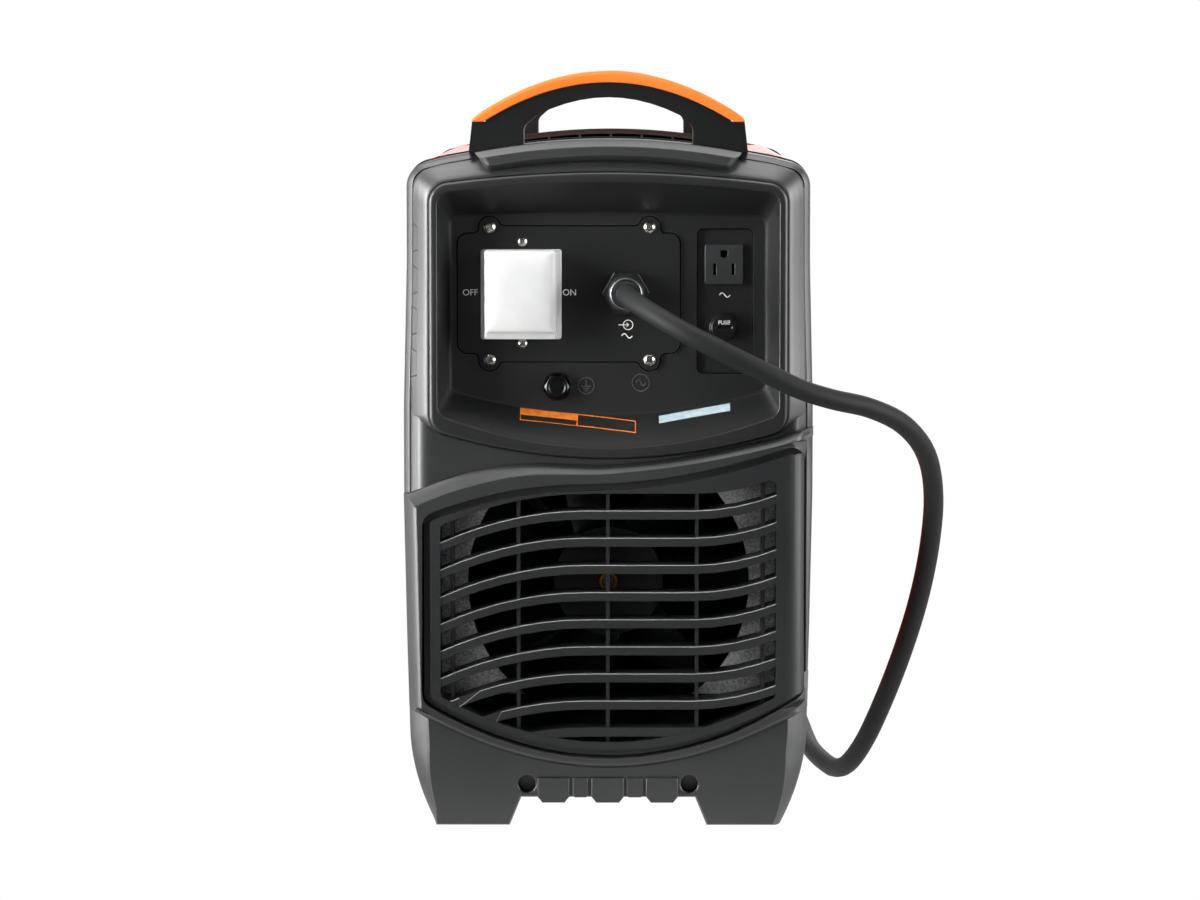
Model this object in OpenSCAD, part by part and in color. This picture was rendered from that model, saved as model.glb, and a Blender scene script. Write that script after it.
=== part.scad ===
/* [Body] */
// Length of the unit over both end mouldings
body_len = 560; // [520:5:640]
// Width of the end mouldings at their widest
body_w = 282; // [274:1:300]
// Height of the crest of the end mouldings above the floor
crest_z = 473.3; // [465:0.5:490]
// Depth of each end moulding along the unit
bezel_depth = 68; // [66:1:80]
// Wall of the end mouldings
bezel_wall = 3; // [2.4:0.1:3.4]
// How far the outer flange lies behind the rearmost face
flange_set = 16; // [15:0.5:18]
// Gap left where two pieces sit side by side
seam = 0.25; // [0.15:0.05:0.4]

/* [Cover and base] */
// Thickness of the painted sheet of the cover
sheet = 1.4; // [1:0.1:2]
// Radius of the top corners of the cover
cover_r = 26; // [24:1:30]
// Height of the lower edge of the cover above the floor
cover_low = 77; // [70:1:84]
// Height of the underside of the base pan above the floor
pan_z = 24; // [22:0.5:26]
// Thickness of the base pan
pan_t = 1.5; // [1.2:0.1:2]
// Number of cooling slots on each side of the cover
slot_count = 9; // [6:1:11]

/* [Handles] */
// Height of the top of a handle above the crest of the end moulding
handle_rise = 46.7; // [41:0.1:53]
// Thickness of the soft grip on the arch
grip_t = 7.8; // [6.5:0.1:9]
// Half the width of the finger opening
opening_half = 58; // [54:0.5:60]
// Depth of the handle frame along the unit
handle_d = 34; // [30:1:38]

/* [Connection recess] */
// Depth of the floor of the recess behind the rearmost face
recess_d = 34; // [31:0.5:35]
// Half the width of the mouth of the recess
mouth_half = 117; // [115:0.5:118]
// Half the width of the floor of the recess
floor_half = 109; // [107:0.5:110]
// Wall of the recess moulding
tub_wall = 2.5; // [2:0.1:2.8]

/* [Grille] */
// Distance from one louvre to the next
louvre_pitch = 18.8; // [18.4:0.1:18.9]
// Height of the face of a louvre
louvre_face = 6.2; // [5:0.1:8]
// Depth of a louvre along the unit
louvre_depth = 26; // [20:1:30]

/* [Fan] */
// Height of the fan shaft above the floor
fan_z = 165; // [160:1:168]
// Radius of the air opening in the fan plate
fan_r = 98; // [90:1:99]
// Number of fan blades
blade_count = 7; // [5:1:9]
// Radius of the fan's spindle
spindle_r = 4; // [3:0.5:6]

/* [Breaker] */
// Centre of the breaker across the unit
breaker_x = -60.4; // [-62:0.2:-59]
// Centre of the breaker above the floor
breaker_z = 367.5; // [365:0.5:369]
// Width of one pole of the breaker
pole_w = 17.8; // [17.5:0.1:18]
// Angle through which the toggles throw
toggle_throw = 76; // [60:1:80]

/* [Supply cord] */
// Diameter of the supply cord
cord_d = 14; // [12:0.5:14.4]
// Place of the cord gland across the unit
gland_x = 12.2; // [10:0.2:14]
// Height of the cord gland above the floor
gland_z = 367.5; // [364:0.5:370]
// Size of the gland's hexagon across its flats
gland_af = 28.5; // [27:0.5:31]

/* [Outlet, fuse and earth] */
// Place of the outlet across the unit
outlet_x = 79.8; // [78:0.2:81]
// Height of the outlet's middle above the floor
outlet_z = 387; // [384:0.5:389]
// Width of the outlet's face
outlet_w = 26.4; // [25:0.2:28]
// Height of the fuse holder above the floor
fuse_z = 343.5; // [340:0.5:346]
// Radius of the fuse cap
fuse_r = 8.7; // [8:0.1:9.2]
// Radius of the earth bolt's thread
earth_r = 5; // [4:0.5:5]

/* [Front panel] */
// Depth of the floor of the control fascia behind the front face
fascia_d = 16; // [14:0.5:20]
// Radius of the current knob
knob_r = 19; // [16:0.5:22]
// Travel of the push buttons
button_travel = 2; // [1.5:0.1:2.4]
// Radius of the torch socket's bore
torch_bore = 11; // [9:0.5:12]
// Radius of the work socket's bore
work_bore = 6.5; // [5:0.25:7]
// Height of the front sockets above the floor
socket_z = 112; // [106:1:118]

/* [Hidden] */
$fn = 48;

// ---- colours
dark = [0.2, 0.2, 0.21];
black = [0.1, 0.1, 0.11];
orange = [0.96, 0.5, 0.18];
red = [0.85, 0.23, 0.12];
steel = [0.75, 0.75, 0.77];
zinc = [0.66, 0.67, 0.68];
brass = [0.78, 0.62, 0.28];
board = [0.1, 0.4, 0.2];

// ---- placing
// A flat shape drawn in X and Z becomes a slab between two depths behind the rear face
module slab(d0, d1) translate([0, d1 - body_len / 2, 0]) rotate([90, 0, 0]) linear_extrude(d1 - d0) children();
// A round bar along the unit between two depths
module bar(x, z, r, d0, d1) translate([x, d1 - body_len / 2, z]) rotate([90, 0, 0]) cylinder(r = r, h = d1 - d0);
// A hexagon along the unit, given across its flats
module hex_bar(x, z, af, d0, d1) translate([x, d1 - body_len / 2, z]) rotate([90, 0, 0])
  cylinder(r = af / sqrt(3), h = d1 - d0, $fn = 6);
// A box between two depths
module box(x0, x1, d0, d1, z0, z1) translate([x0, d0 - body_len / 2, z0]) cube([x1 - x0, d1 - d0, z1 - z0]);
// The front end is drawn as the rear end and turned round
module front() rotate(180) children();
module both() { children(); front() children(); }
module rounded(r) offset(r) offset(-r) children();
module filleted(r) offset(-r) offset(r) children();
module rect(x0, x1, z0, z1) translate([x0, z0]) square([x1 - x0, z1 - z0]);

// ---- outline of an end moulding
half_w = body_w / 2;
upper_x = half_w - 2.4;
waist_x = half_w - 2;
waist_z = 133;
belly_z = [230, 290];
upper_z = 390;
knee_x = half_w - 3.7;
knee_z = 70;
toe_x = half_w - 22;
foot_in = 68;
arch_x = 60;
arch_z = 19.5;
corner_r = 17;
corner_z = crest_z - 32.3;
corner_end = 78;
shoulder = [112.8, crest_z - 12.5];
crest_half = 91.5;
crest_curve = 480;
function crest(x) = crest_z - x * x / (2 * crest_curve);
right_side = concat([[foot_in, 0]],
  [for (i = [0:6]) [toe_x + (knee_x - toe_x) * (1 - pow(1 - i / 6, 2)), knee_z * i / 6]],
  [[waist_x, waist_z], [half_w, belly_z[0]], [half_w, belly_z[1]], [upper_x, upper_z]],
  [for (a = [0:13:corner_end]) [upper_x - corner_r + corner_r * cos(a), corner_z + corner_r * sin(a)]],
  [shoulder],
  [for (i = [0:6]) let(x = crest_half * (1 - i / 6)) [x, crest(x)]]);
module end_outline() polygon(concat(right_side,
  [for (i = [len(right_side) - 2:-1:0]) [-right_side[i][0], right_side[i][1]]],
  [[-arch_x, arch_z], [arch_x, arch_z]]));

// ---- the wave that parts the upper frame from the lower field
wave_z = 250.5;
wave_fall = 23;
wave_rise = 25.5;
function wave(x) = x < -45 ? wave_z + 1.5 - wave_fall * pow((-x - 45) / 95, 2)
  : x < -10 ? wave_z - 1.5 * (x + 10) / 35 : wave_z + wave_rise * pow((x + 10) / 150, 1.7);
module below_wave() polygon(concat([[-half_w - 5, -5], [half_w + 5, -5]],
  [for (i = [14:-1:-14]) let(x = (half_w + 5) * i / 14) [x, wave(x)]]));
module lower_part() intersection() { end_outline(); below_wave(); }
module upper_part() intersection() {
  end_outline();
  rect(-half_w, half_w, wave_z - 22, crest_z + 1);
}

// ---- a window with arched top and bottom
module window(half, top, top_r, low, low_r, corner) rounded(corner) polygon(concat(
  [for (i = [-8:8]) let(x = half * i / 8) [x, low + x * x / (2 * low_r)]],
  [for (i = [8:-1:-8]) let(x = half * i / 8) [x, top - x * x / (2 * top_r)]]));
ring_half = mouth_half + 6;
ring_low = wave_z + 4.5;
mouth_low = ring_low + 7.5;
floor_low = ring_low + 28;
mouth_top = crest_z - 29.3;
floor_top = crest_z - 51;
module ring_outline() window(ring_half, crest_z - 22, 830, ring_low, 390, 14);
module mouth_outline() window(mouth_half, mouth_top, 900, mouth_low, 300, 9);
module floor_outline() window(floor_half, floor_top, 3000, floor_low, 370, 7);

// ---- the lower insert and its louvres
insert_x = [-127, half_w - 6];
insert_low = 49;
insert_curve = 211;
field_x = 115.4;
field_low = insert_low + 9.7;
field_top = wave_z - 19.5;
groove_w = 4.5;
function low_arc(x, z) = z + x * x / (2 * insert_curve);
function stripe(x) = x < -15 ? wave_z - 13.2 - 22 * pow((-x - 15) / 112, 2)
  : wave_z - 13.2 + 31 * pow((x + 15) / 155, 1.9);
function droop(x) = x < -15 ? -22 * pow((-x - 15) / 100, 2) : x < 58 ? 0 : 10.6 * pow((x - 58) / 57, 2);
function steps(a, b, n) = [for (i = [0:n]) a + (b - a) * i / n];
module insert_outline() rounded(9) polygon(concat(
  [for (x = steps(insert_x[0], insert_x[1], 16)) [x, low_arc(x, insert_low)]],
  [for (x = steps(insert_x[1], insert_x[0], 16)) [x, stripe(x)]]));
module vent_field() rounded(4) polygon(concat(
  [for (x = steps(-field_x, field_x, 16)) [x, low_arc(x, field_low)]],
  [for (x = steps(field_x, -field_x, 16)) [x, field_top + droop(x)]]));
module louvre_band(z, t) polygon(concat(
  [for (x = steps(-field_x - 2, field_x + 2, 16)) [x, z - t + droop(x)]],
  [for (x = steps(field_x + 2, -field_x - 2, 16)) [x, z + droop(x)]]));
// The right edge of an insert rolls back to the flange
roll = [15.5, 9];
module edge_roll() translate([0, -body_len / 2, 30]) linear_extrude(270) polygon(concat(
  [[insert_x[1] + 20, roll[1] + insert_face], [insert_x[1] + 20, -1], [insert_x[1] - roll[0], -1]],
  [for (a = [0:11.25:90]) [insert_x[1] - roll[0] * (1 - sin(a)), insert_face + roll[1] * (1 - cos(a))]]));
louvre_top = field_top - 11.6;
louvre_count = floor((louvre_top - field_low) / louvre_pitch) + 1;
insert_face = 1;
insert_t = 4;
lip_d = 5;
blade_t = 2.4;

// ---- depths and heights that several pieces share
frame_set = 5;
apron_set = 9;
strip_low = 107;
flange_w = 4.5;
frame_in = 13;
leg_set = 4.5;
leg_line = insert_low - 9;
leg_curve = 226;
plate_t = 2;
boss = [56, 29.1];
boss_r = 8;
boss_end = 34;
screw_r = 2.5;
tab_d = boss_end + seam;
plate_d = 46;
shelf_z = 272;
shelf_t = 1.2;
cover_top = crest_z - 11.8;
cover_x = upper_x;
cover_d = bezel_depth + seam;
pan_x = cover_x - sheet - seam;
pan_top = 110;
ear_z = crest(crest_half) - 27;

// ---- end moulding: one shell with side walls, frame, lower field, legs and crest
module crest_pad() rounded(5) polygon(concat(
  [for (i = [-6:6]) let(x = 82 * i / 6) [x, crest_z - 14.3 - 7.5 * pow(i / 6, 2)]],
  [for (i = [6:-1:-6]) let(x = crest_half * i / 6) [x, crest(x)]]));
// The apron lies between the panel's surround and the wave, set back from both
module apron() polygon(concat([[half_w + 1, 200], [-half_w - 1, 200]],
  [for (x = steps(-half_w - 1, half_w + 1, 16)) [x, ring_low - 1.5 + x * x / 780]]));
base_blocks = [[-48.9, -26.6, 14.8], [-24.7, -13.6, 18.3], [-11.7, 11.1, 14.8], [12.6, 24.2, 18.3], [26, 48.4, 14.8]];
block_top = 33;
field_steps = [[0.8, 11], [3.5, leg_set], [8.5, 0]];
pockets_z = [397, 368, 340, 311];
pocket_h = 18;
module bezel_shell() {
  slab(flange_set, bezel_depth) end_outline();
  difference() {
    hull() {
      slab(flange_set - 0.1, flange_set) offset(-flange_w) upper_part();
      slab(frame_set, frame_set + 0.1) offset(-frame_in) upper_part();
    }
    slab(-1, apron_set) apron();
  }
  for (s = field_steps) slab(s[1], flange_set) difference() {
    offset(-s[0]) lower_part();
    if (s[1] == 0) polygon(concat([[-half_w, -1], [half_w, -1]],
      [for (x = steps(half_w, -half_w, 16)) [x, leg_line + x * x / (2 * leg_curve)]]));
  }
  slab(frame_set - 2.5, flange_set) crest_pad();
  for (b = base_blocks) box(b[0], b[1], leg_set - 1, 30, b[2], block_top);
}
// The inner side of the crest is closed by a web with upright ribs, above the cover
crest_rib = [24.6, 2, 3];
module crest_web() {
  slab(bezel_depth - bezel_wall, bezel_depth) intersection() {
    end_outline();
    rect(-half_w, half_w, cover_top - 6, crest_z);
  }
  for (i = [-2:2]) box(i * crest_rib[0] - crest_rib[1] / 2, i * crest_rib[0] + crest_rib[1] / 2,
    bezel_depth - 1, bezel_depth + crest_rib[2], cover_top + 1, crest_z - 4);
}
module bezel_hollow() {
  slab(flange_set + 1, bezel_depth + 1) offset(-bezel_wall) end_outline();
  difference() {
    hull() {
      slab(flange_set + 1.9, flange_set + 2) offset(-flange_w - bezel_wall) upper_part();
      slab(frame_set + bezel_wall, frame_set + bezel_wall + 0.1) offset(-frame_in - bezel_wall) upper_part();
    }
    slab(-1, apron_set + bezel_wall) offset(bezel_wall) apron();
  }
  slab(leg_set + bezel_wall, flange_set + 2) offset(-8.5 - bezel_wall) lower_part();
}
module bezel() color(dark) difference() {
  union() {
    difference() {
      bezel_shell();
      bezel_hollow();
      slab(-1, flange_set + 3) offset(seam) ring_outline();
      slab(-1, flange_set + 3) offset(seam) insert_outline();
      for (z = pockets_z) box(-half_w + 5.4, -half_w + 9.3, 0, flange_set - 4, z, z + pocket_h);
      for (s = [[0, roll[1] + 1.5], [1.8, flange_set]]) slab(-1, s[1]) intersection() {
        rect(insert_x[1] + s[0], half_w + 1, strip_low, wave_z + 40);
        offset(-3) below_wave();
      }
    }
    crest_web();
    for (s = [-1, 1]) bar(s * boss[0], boss[1], boss_r, leg_set + 1, boss_end);
  }
  for (s = [-1, 1]) {
    bar(s * boss[0], boss[1], 5.8, -1, 22);
    bar(s * boss[0], boss[1], screw_r + 0.2, 0, boss_end + 1);
    translate([s * handle_bolt_x, handle_mid - body_len / 2, ear_z - 1]) cylinder(r = handle_bolt_r + 0.2, h = 60);
  }
}
module rear_bezel() bezel();
module front_bezel() front() bezel();

// ---- louvred insert of the rear end
rib_x = [-107.3, -61.8, -0.3, 61, 106.6];
rib_t = 2.5;
module insert_raised() intersection() {
  offset(-seam) insert_outline();
  union() {
    offset(-groove_w) insert_outline();
    translate([groove_w, 0]) offset(-groove_w) insert_outline();
  }
}
module rear_grille() color(dark) difference() {
  louvred_insert();
  edge_roll();
}
module louvred_insert() {
  back = insert_face + louvre_depth;
  slab(insert_face + insert_t, insert_face + 2 * insert_t) difference() { offset(-seam) insert_outline(); vent_field(); }
  slab(insert_face, insert_face + insert_t) difference() { insert_raised(); vent_field(); }
  slab(insert_face + 2 * insert_t, back) difference() { offset(3) vent_field(); vent_field(); }
  for (k = [0:louvre_count - 1]) {
    z = louvre_top - k * louvre_pitch;
    slab(insert_face + 0.5, insert_face + lip_d) intersection() { louvre_band(z, louvre_face); offset(1) vent_field(); }
    slab(insert_face + lip_d, back) intersection() { louvre_band(z, blade_t); offset(1) vent_field(); }
  }
  slab(insert_face + lip_d + 1, back) intersection() {
    offset(1) vent_field();
    union() for (x = rib_x) rect(x - rib_t / 2, x + rib_t / 2, field_low - 5, field_top + 20);
  }
}

// ---- recess that holds the connections
plate_x = [-104, 49.3];
plate_zs = [breaker_z - 41.8, breaker_z + 40.6];
plate_mid = [breaker_z - 47.7, breaker_z + 45.7];
plate_screws = [for (s = [[-82, 45], [28.4, 45], [-82, -46.7], [28.4, -46.7]]) [s[0], breaker_z + s[1]]];
nose_w = 45;
nose_h = 3 * pole_w;
cover_w = 50.5;
cover_h = 60.8;
flange = [55.3, 61.8];
cover_screw_dz = 35.2;
earth = [-35.5, 302.6];
pocket_x = [-18.6, 19.9];
pocket_zs = [fuse_z - 32, outlet_z + 24.5];
pocket_d = 3;
outlet_h = outlet_w + 0.9;
module tub(depth) {
  difference() {
    union() {
      slab(2, 5) difference() { ring_outline(); offset(0.5) mouth_outline(); }
      hull() {
        slab(2, 2.1) offset(tub_wall) mouth_outline();
        slab(depth + tub_wall - 0.1, depth + tub_wall) offset(tub_wall) floor_outline();
      }
    }
    hull() {
      slab(1.9, 2) mouth_outline();
      slab(depth - 0.1, depth) floor_outline();
    }
  }
}
module outlet_pocket() rounded(4) rect(outlet_x + pocket_x[0], outlet_x + pocket_x[1], pocket_zs[0], pocket_zs[1]);
module rear_recess() color(black) difference() {
  union() {
    tub(recess_d);
    slab(recess_d + 0.5, recess_d + tub_wall + pocket_d) offset(2.5) outlet_pocket();
  }
  slab(recess_d - 1, recess_d + pocket_d) outlet_pocket();
  slab(recess_d - 1, recess_d + 9) rect(breaker_x - nose_w / 2 - 0.5, breaker_x + nose_w / 2 + 0.5,
    breaker_z - nose_h / 2 - 0.5, breaker_z + nose_h / 2 + 0.5);
  slab(recess_d - 1, recess_d + 9) rect(outlet_x - outlet_w / 2 - seam, outlet_x + outlet_w / 2 + seam,
    outlet_z - outlet_h / 2 - seam, outlet_z + outlet_h / 2 + seam);
  bar(outlet_x, fuse_z, fuse_body_r + seam, recess_d - 1, recess_d + 9);
  bar(gland_x, gland_z, gland_thread_r + 0.2, recess_d - 1, recess_d + 9);
  bar(earth[0], earth[1], earth_r + 0.2, recess_d - 1, recess_d + 9);
  for (p = plate_screws) bar(p[0], p[1], 1.9, recess_d - 1, recess_d + 9);
  for (s = [-1, 1]) bar(breaker_x + 1, breaker_z + s * cover_screw_dz, 1.9, recess_d - 1, recess_d + 9);
}
module breaker_plate() color(black) difference() {
  slab(recess_d - plate_t, recess_d) filleted(4) union() {
    rounded(7) rect(plate_x[0], plate_x[1], plate_zs[0], plate_zs[1]);
    rect(-82, 28.4, plate_mid[0], plate_mid[1]);
    for (p = plate_screws) translate(p) circle(r = 7.2);
  }
  slab(0, recess_d + 1) rect(breaker_x - nose_w / 2 - 0.5, breaker_x + nose_w / 2 + 0.5,
    breaker_z - nose_h / 2 - 0.5, breaker_z + nose_h / 2 + 0.5);
  bar(gland_x, gland_z, gland_thread_r + 0.2, 0, recess_d + 1);
  for (p = plate_screws) bar(p[0], p[1], 1.9, 0, recess_d + 1);
  for (s = [-1, 1]) bar(breaker_x + 1, breaker_z + s * cover_screw_dz, 1.9, 0, recess_d + 1);
}
// A pan-head screw driven along the unit, with a cross slot
module pan_screw(x, z, d, r, shank_r, reach) difference() {
  union() {
    translate([x, d - body_len / 2, z]) rotate([90, 0, 0]) intersection() {
      cylinder(r = r, h = 0.55 * r);
      translate([0, 0, -0.75 * r]) sphere(r = 1.25 * r);
    }
    bar(x, z, shank_r, d, d + reach);
  }
  for (a = [0, 90]) translate([x, d - 0.55 * r - body_len / 2, z]) rotate([0, a + 20, 0])
    cube([r, 0.7 * r, 0.22 * r], center = true);
}
module breaker_plate_screws() color(steel)
  for (p = plate_screws) pan_screw(p[0], p[1], recess_d - plate_t, 4.35, 1.8, 14);

// ---- three-pole breaker with its toggles under a clear boot
nose_d = recess_d - 7;
pivot_d = nose_d + 4.5;
body_d = recess_d + tub_wall + seam;
toggle_len = 17;
pin_r = 2.5;
module breaker_body() color([0.85, 0.85, 0.84]) difference() {
  union() {
    slab(nose_d, body_d + 1) rect(breaker_x - nose_w / 2, breaker_x + nose_w / 2, breaker_z - nose_h / 2, breaker_z + nose_h / 2);
    slab(body_d, body_d + 52) rect(breaker_x - 43, breaker_x + 37, breaker_z - nose_h / 2, breaker_z + nose_h / 2);
  }
  for (k = [-1:1]) slab(nose_d - 1, body_d + 2)
    rect(breaker_x - 10, breaker_x + 10, breaker_z + k * pole_w - pole_w / 2 + 1.6, breaker_z + k * pole_w + pole_w / 2 - 1.6);
  translate([breaker_x, pivot_d - body_len / 2, breaker_z - nose_h / 2 - 1]) cylinder(r = pin_r + 0.05, h = nose_h + 2);
}
module breaker_toggles() color(black) translate([breaker_x, pivot_d - body_len / 2, breaker_z])
  rotate(-toggle_throw / 2) {
    translate([0, 0, -nose_h / 2 + 0.2]) cylinder(r = pin_r, h = nose_h - 0.4);
    for (k = [-1:1]) translate([-3, -toggle_len, k * pole_w - 5]) cube([6, toggle_len, 10]);
    translate([-2.5, -toggle_len, -pole_w - 5]) cube([5, 5, 2 * pole_w + 10]);
  }
boot_t = 1.5;
boot_face = 3;
module boot(t) {
  hull() {
    slab(boot_face + t + 5, recess_d - plate_t) rect(breaker_x - cover_w / 2 + t, breaker_x + cover_w / 2 - t,
      breaker_z + 0.4 - cover_h / 2 + t, breaker_z + 0.4 + cover_h / 2 - t);
    translate([breaker_x, boot_face + t + 26 - body_len / 2, breaker_z + 0.4]) rotate([0, 90, 0])
      cylinder(r = 26, h = cover_w - 4 - 2 * t, center = true, $fn = 40);
  }
}
module breaker_cover() color([0.9, 0.9, 0.9, 0.8]) difference() {
  union() {
    difference() {
      intersection() {
        boot(0);
        box(-200, 200, -5, recess_d - plate_t, 300, 430);
      }
      boot(boot_t);
    }
    slab(recess_d - plate_t - 2, recess_d - plate_t) difference() {
      rounded(2) rect(breaker_x - flange[0] / 2, breaker_x + flange[0] / 2, breaker_z - flange[1] / 2 - 0.5, breaker_z + flange[1] / 2);
      rect(breaker_x - cover_w / 2 + boot_t, breaker_x + cover_w / 2 - boot_t,
        breaker_z + 0.4 - cover_h / 2 + boot_t, breaker_z + 0.4 + cover_h / 2 - boot_t);
    }
  }
}
module breaker_cover_screws() color(steel) for (s = [-1, 1])
  pan_screw(breaker_x + 1, breaker_z + s * cover_screw_dz, recess_d - plate_t, 3.6, 1.8, 14);

// ---- cord gland
gland_thread_r = 10;
gland_hex_t = 7;
gland_nose = 12;
gland_seat = recess_d - plate_t;
seal_r = 9;
module gland_body() color(black) difference() {
  union() {
    hex_bar(gland_x, gland_z, gland_af, gland_seat - gland_hex_t, gland_seat);
    bar(gland_x, gland_z, gland_thread_r, gland_seat - gland_hex_t, recess_d + 14);
  }
  bar(gland_x, gland_z, seal_r, gland_seat - gland_hex_t - 1, gland_seat);
  bar(gland_x, gland_z, cord_d / 2 + 0.3, gland_seat - 1, recess_d + 15);
}
module gland_dome() color(steel) translate([gland_x, gland_nose - body_len / 2, gland_z]) rotate([-90, 0, 0])
  rotate_extrude() difference() {
    rounded(1) polygon([[seal_r + 0.1, 0], [10.4, 0], [11.8, 2.5], [12.6, 7], [12.6, gland_seat - gland_hex_t - gland_nose - 0.1],
      [seal_r + 0.1, gland_seat - gland_hex_t - gland_nose - 0.1]]);
  }
module gland_seal() color([0.15, 0.15, 0.15]) bar(gland_x, gland_z, seal_r - 0.05, gland_nose, gland_seat - 0.2);
module gland_locknut() color(steel) difference() {
  hex_bar(gland_x, gland_z, gland_af, recess_d + tub_wall + 0.1, recess_d + tub_wall + 6);
  bar(gland_x, gland_z, gland_thread_r + 0.05, recess_d, recess_d + 20);
}

// ---- low-voltage outlet for a gas heater, fuse and earth bolt
fuse_body_r = 7.5;
fuse_bore = 5.2;
module outlet() color(black) difference() {
  slab(recess_d - 0.5, recess_d + 28) rounded(1.5) rect(outlet_x - outlet_w / 2, outlet_x + outlet_w / 2,
    outlet_z - outlet_h / 2, outlet_z + outlet_h / 2);
  for (s = [-1, 1]) slab(recess_d - 2, recess_d + 14) rect(outlet_x + s * 6.35 - 1, outlet_x + s * 6.35 + 1, outlet_z - 7.5, outlet_z + 0.5);
  bar(outlet_x, outlet_z + 6.6, 2.5, recess_d - 2, recess_d + 14);
  slab(recess_d - 2, recess_d + 14) rect(outlet_x - 2.5, outlet_x + 2.5, outlet_z + 6.6, outlet_z + 9.6);
}
module fuse_holder() color(black) difference() {
  union() {
    bar(outlet_x, fuse_z, fuse_r + 1.2, recess_d + pocket_d - 1.8, recess_d + pocket_d);
    bar(outlet_x, fuse_z, fuse_body_r, recess_d + pocket_d - 1, recess_d + 42);
  }
  bar(outlet_x, fuse_z, fuse_bore, recess_d, recess_d + 40);
}
cap_back = recess_d + pocket_d - 1.8 - 0.1;
module fuse_cap() color(black) difference() {
  union() {
    bar(outlet_x, fuse_z, fuse_r, cap_back - 5, cap_back);
    bar(outlet_x, fuse_z, fuse_bore - 0.1, cap_back - 1, recess_d + 16);
  }
  box(outlet_x - 5.5, outlet_x + 5.5, cap_back - 6, cap_back - 3.4, fuse_z - 0.8, fuse_z + 0.8);
}
module fuse_link() color([0.8, 0.85, 0.85]) bar(outlet_x, fuse_z, 3, recess_d + 16.1, recess_d + 36);
module earth_bolt() color(steel) {
  hex_bar(earth[0], earth[1], 3.1 * earth_r, recess_d - 8.4, recess_d - 2);
  bar(earth[0], earth[1], 2 * earth_r, recess_d - 2, recess_d);
  bar(earth[0], earth[1], earth_r, recess_d - 3, recess_d + 22);
}
module earth_nut() color(steel) difference() {
  hex_bar(earth[0], earth[1], 3.2 * earth_r, recess_d + tub_wall + 0.1, recess_d + tub_wall + 8);
  bar(earth[0], earth[1], earth_r + 0.05, recess_d, recess_d + 30);
}

// ---- arched carrying handle, one on each end
arch_curve = 136;
handle_near = 12;
handle_mid = handle_near + handle_d / 2;
handle_bolt_x = 76;
handle_bolt_r = 3;
handle_top = crest_z + handle_rise;
opening_top = handle_top - 18;
grip_end_z = handle_top - 34.8;
grip_half = 93;
function arch(x, top) = top - x * x / (2 * arch_curve);
module arch_band(top, half) polygon(concat(
  [for (x = steps(-half, half, 16)) [x, arch(x, top)]], [[half + 3.8, crest_z - 20], [-half - 3.8, crest_z - 20]]));
module grip_area() difference() {
  intersection() {
    arch_band(handle_top, grip_half);
    rect(-grip_half - 4, grip_half + 4, grip_end_z, handle_top);
  }
  arch_band(handle_top - grip_t, grip_half - 9);
}
module finger_opening() filleted(0.1) rounded(7) polygon(concat([[-opening_half, crest_z - 30], [opening_half, crest_z - 30]],
  [[opening_half, opening_top - 20]],
  [for (x = steps(opening_half - 9, -opening_half + 9, 10)) [x, opening_top - x * x / 196]],
  [[-opening_half, opening_top - 20]]));
module handle_frame() color(black) difference() {
  slab(handle_near, handle_near + handle_d) difference() {
    arch_band(handle_top - 1, grip_half);
    offset(0.05) grip_area();
    finger_opening();
    offset(seam) end_outline();
  }
  for (s = [-1, 1]) translate([s * handle_bolt_x, handle_mid - body_len / 2, crest_z - 20])
    cylinder(r = handle_bolt_r + 0.1, h = handle_top - crest_z - 12);
}
module rear_handle() handle_frame();
module front_handle() front() handle_frame();
module grip() color(orange) slab(handle_near - 2, handle_near + handle_d + 2) rounded(2) grip_area();
module rear_grip() grip();
module front_grip() front() grip();
module handle_bolts() color(steel) both() for (s = [-1, 1]) translate([s * handle_bolt_x, handle_mid - body_len / 2, 0]) {
  translate([0, 0, crest(handle_bolt_x + 6) - bezel_wall - 6.1]) cylinder(r = 5.5, h = 5.9);
  translate([0, 0, crest(handle_bolt_x + 6) - bezel_wall - 1]) cylinder(r = handle_bolt_r, h = 22);
}

// ---- control fascia of the front end, drawn as seen from the rear and turned round
display = [-62, 62, 372, 412];
knob_at = [-52, 318];
button_x = [30, 66];
button_z = 318;
button_r = 7;
lamp_x = [-36, -12, 12, 36, 60];
lamp_z = 352;
lamp_r = 2.5;
pot_shaft_r = 3;
module front_fascia() color(dark) front() difference() {
  tub(fascia_d);
  slab(0, fascia_d + 9) rounded(3) rect(display[0], display[1], display[2], display[3]);
  bar(knob_at[0], knob_at[1], pot_shaft_r + 1, 0, fascia_d + 9);
  for (x = button_x) bar(x, button_z, button_r + 0.3, 0, fascia_d + 9);
  for (x = lamp_x) bar(x, lamp_z, lamp_r + 0.1, 0, fascia_d + 9);
}
module display_window() color([0.1, 0.1, 0.12, 0.9]) front() slab(fascia_d - 0.8, fascia_d + tub_wall)
  rounded(3) rect(display[0] + 0.15, display[1] - 0.15, display[2] + 0.15, display[3] - 0.15);
board_d = fascia_d + tub_wall + 8;
module indicator_lamps() color([0.3, 0.8, 0.3]) front() for (x = lamp_x) bar(x, lamp_z, lamp_r, fascia_d - 1, board_d - 0.1);
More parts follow.
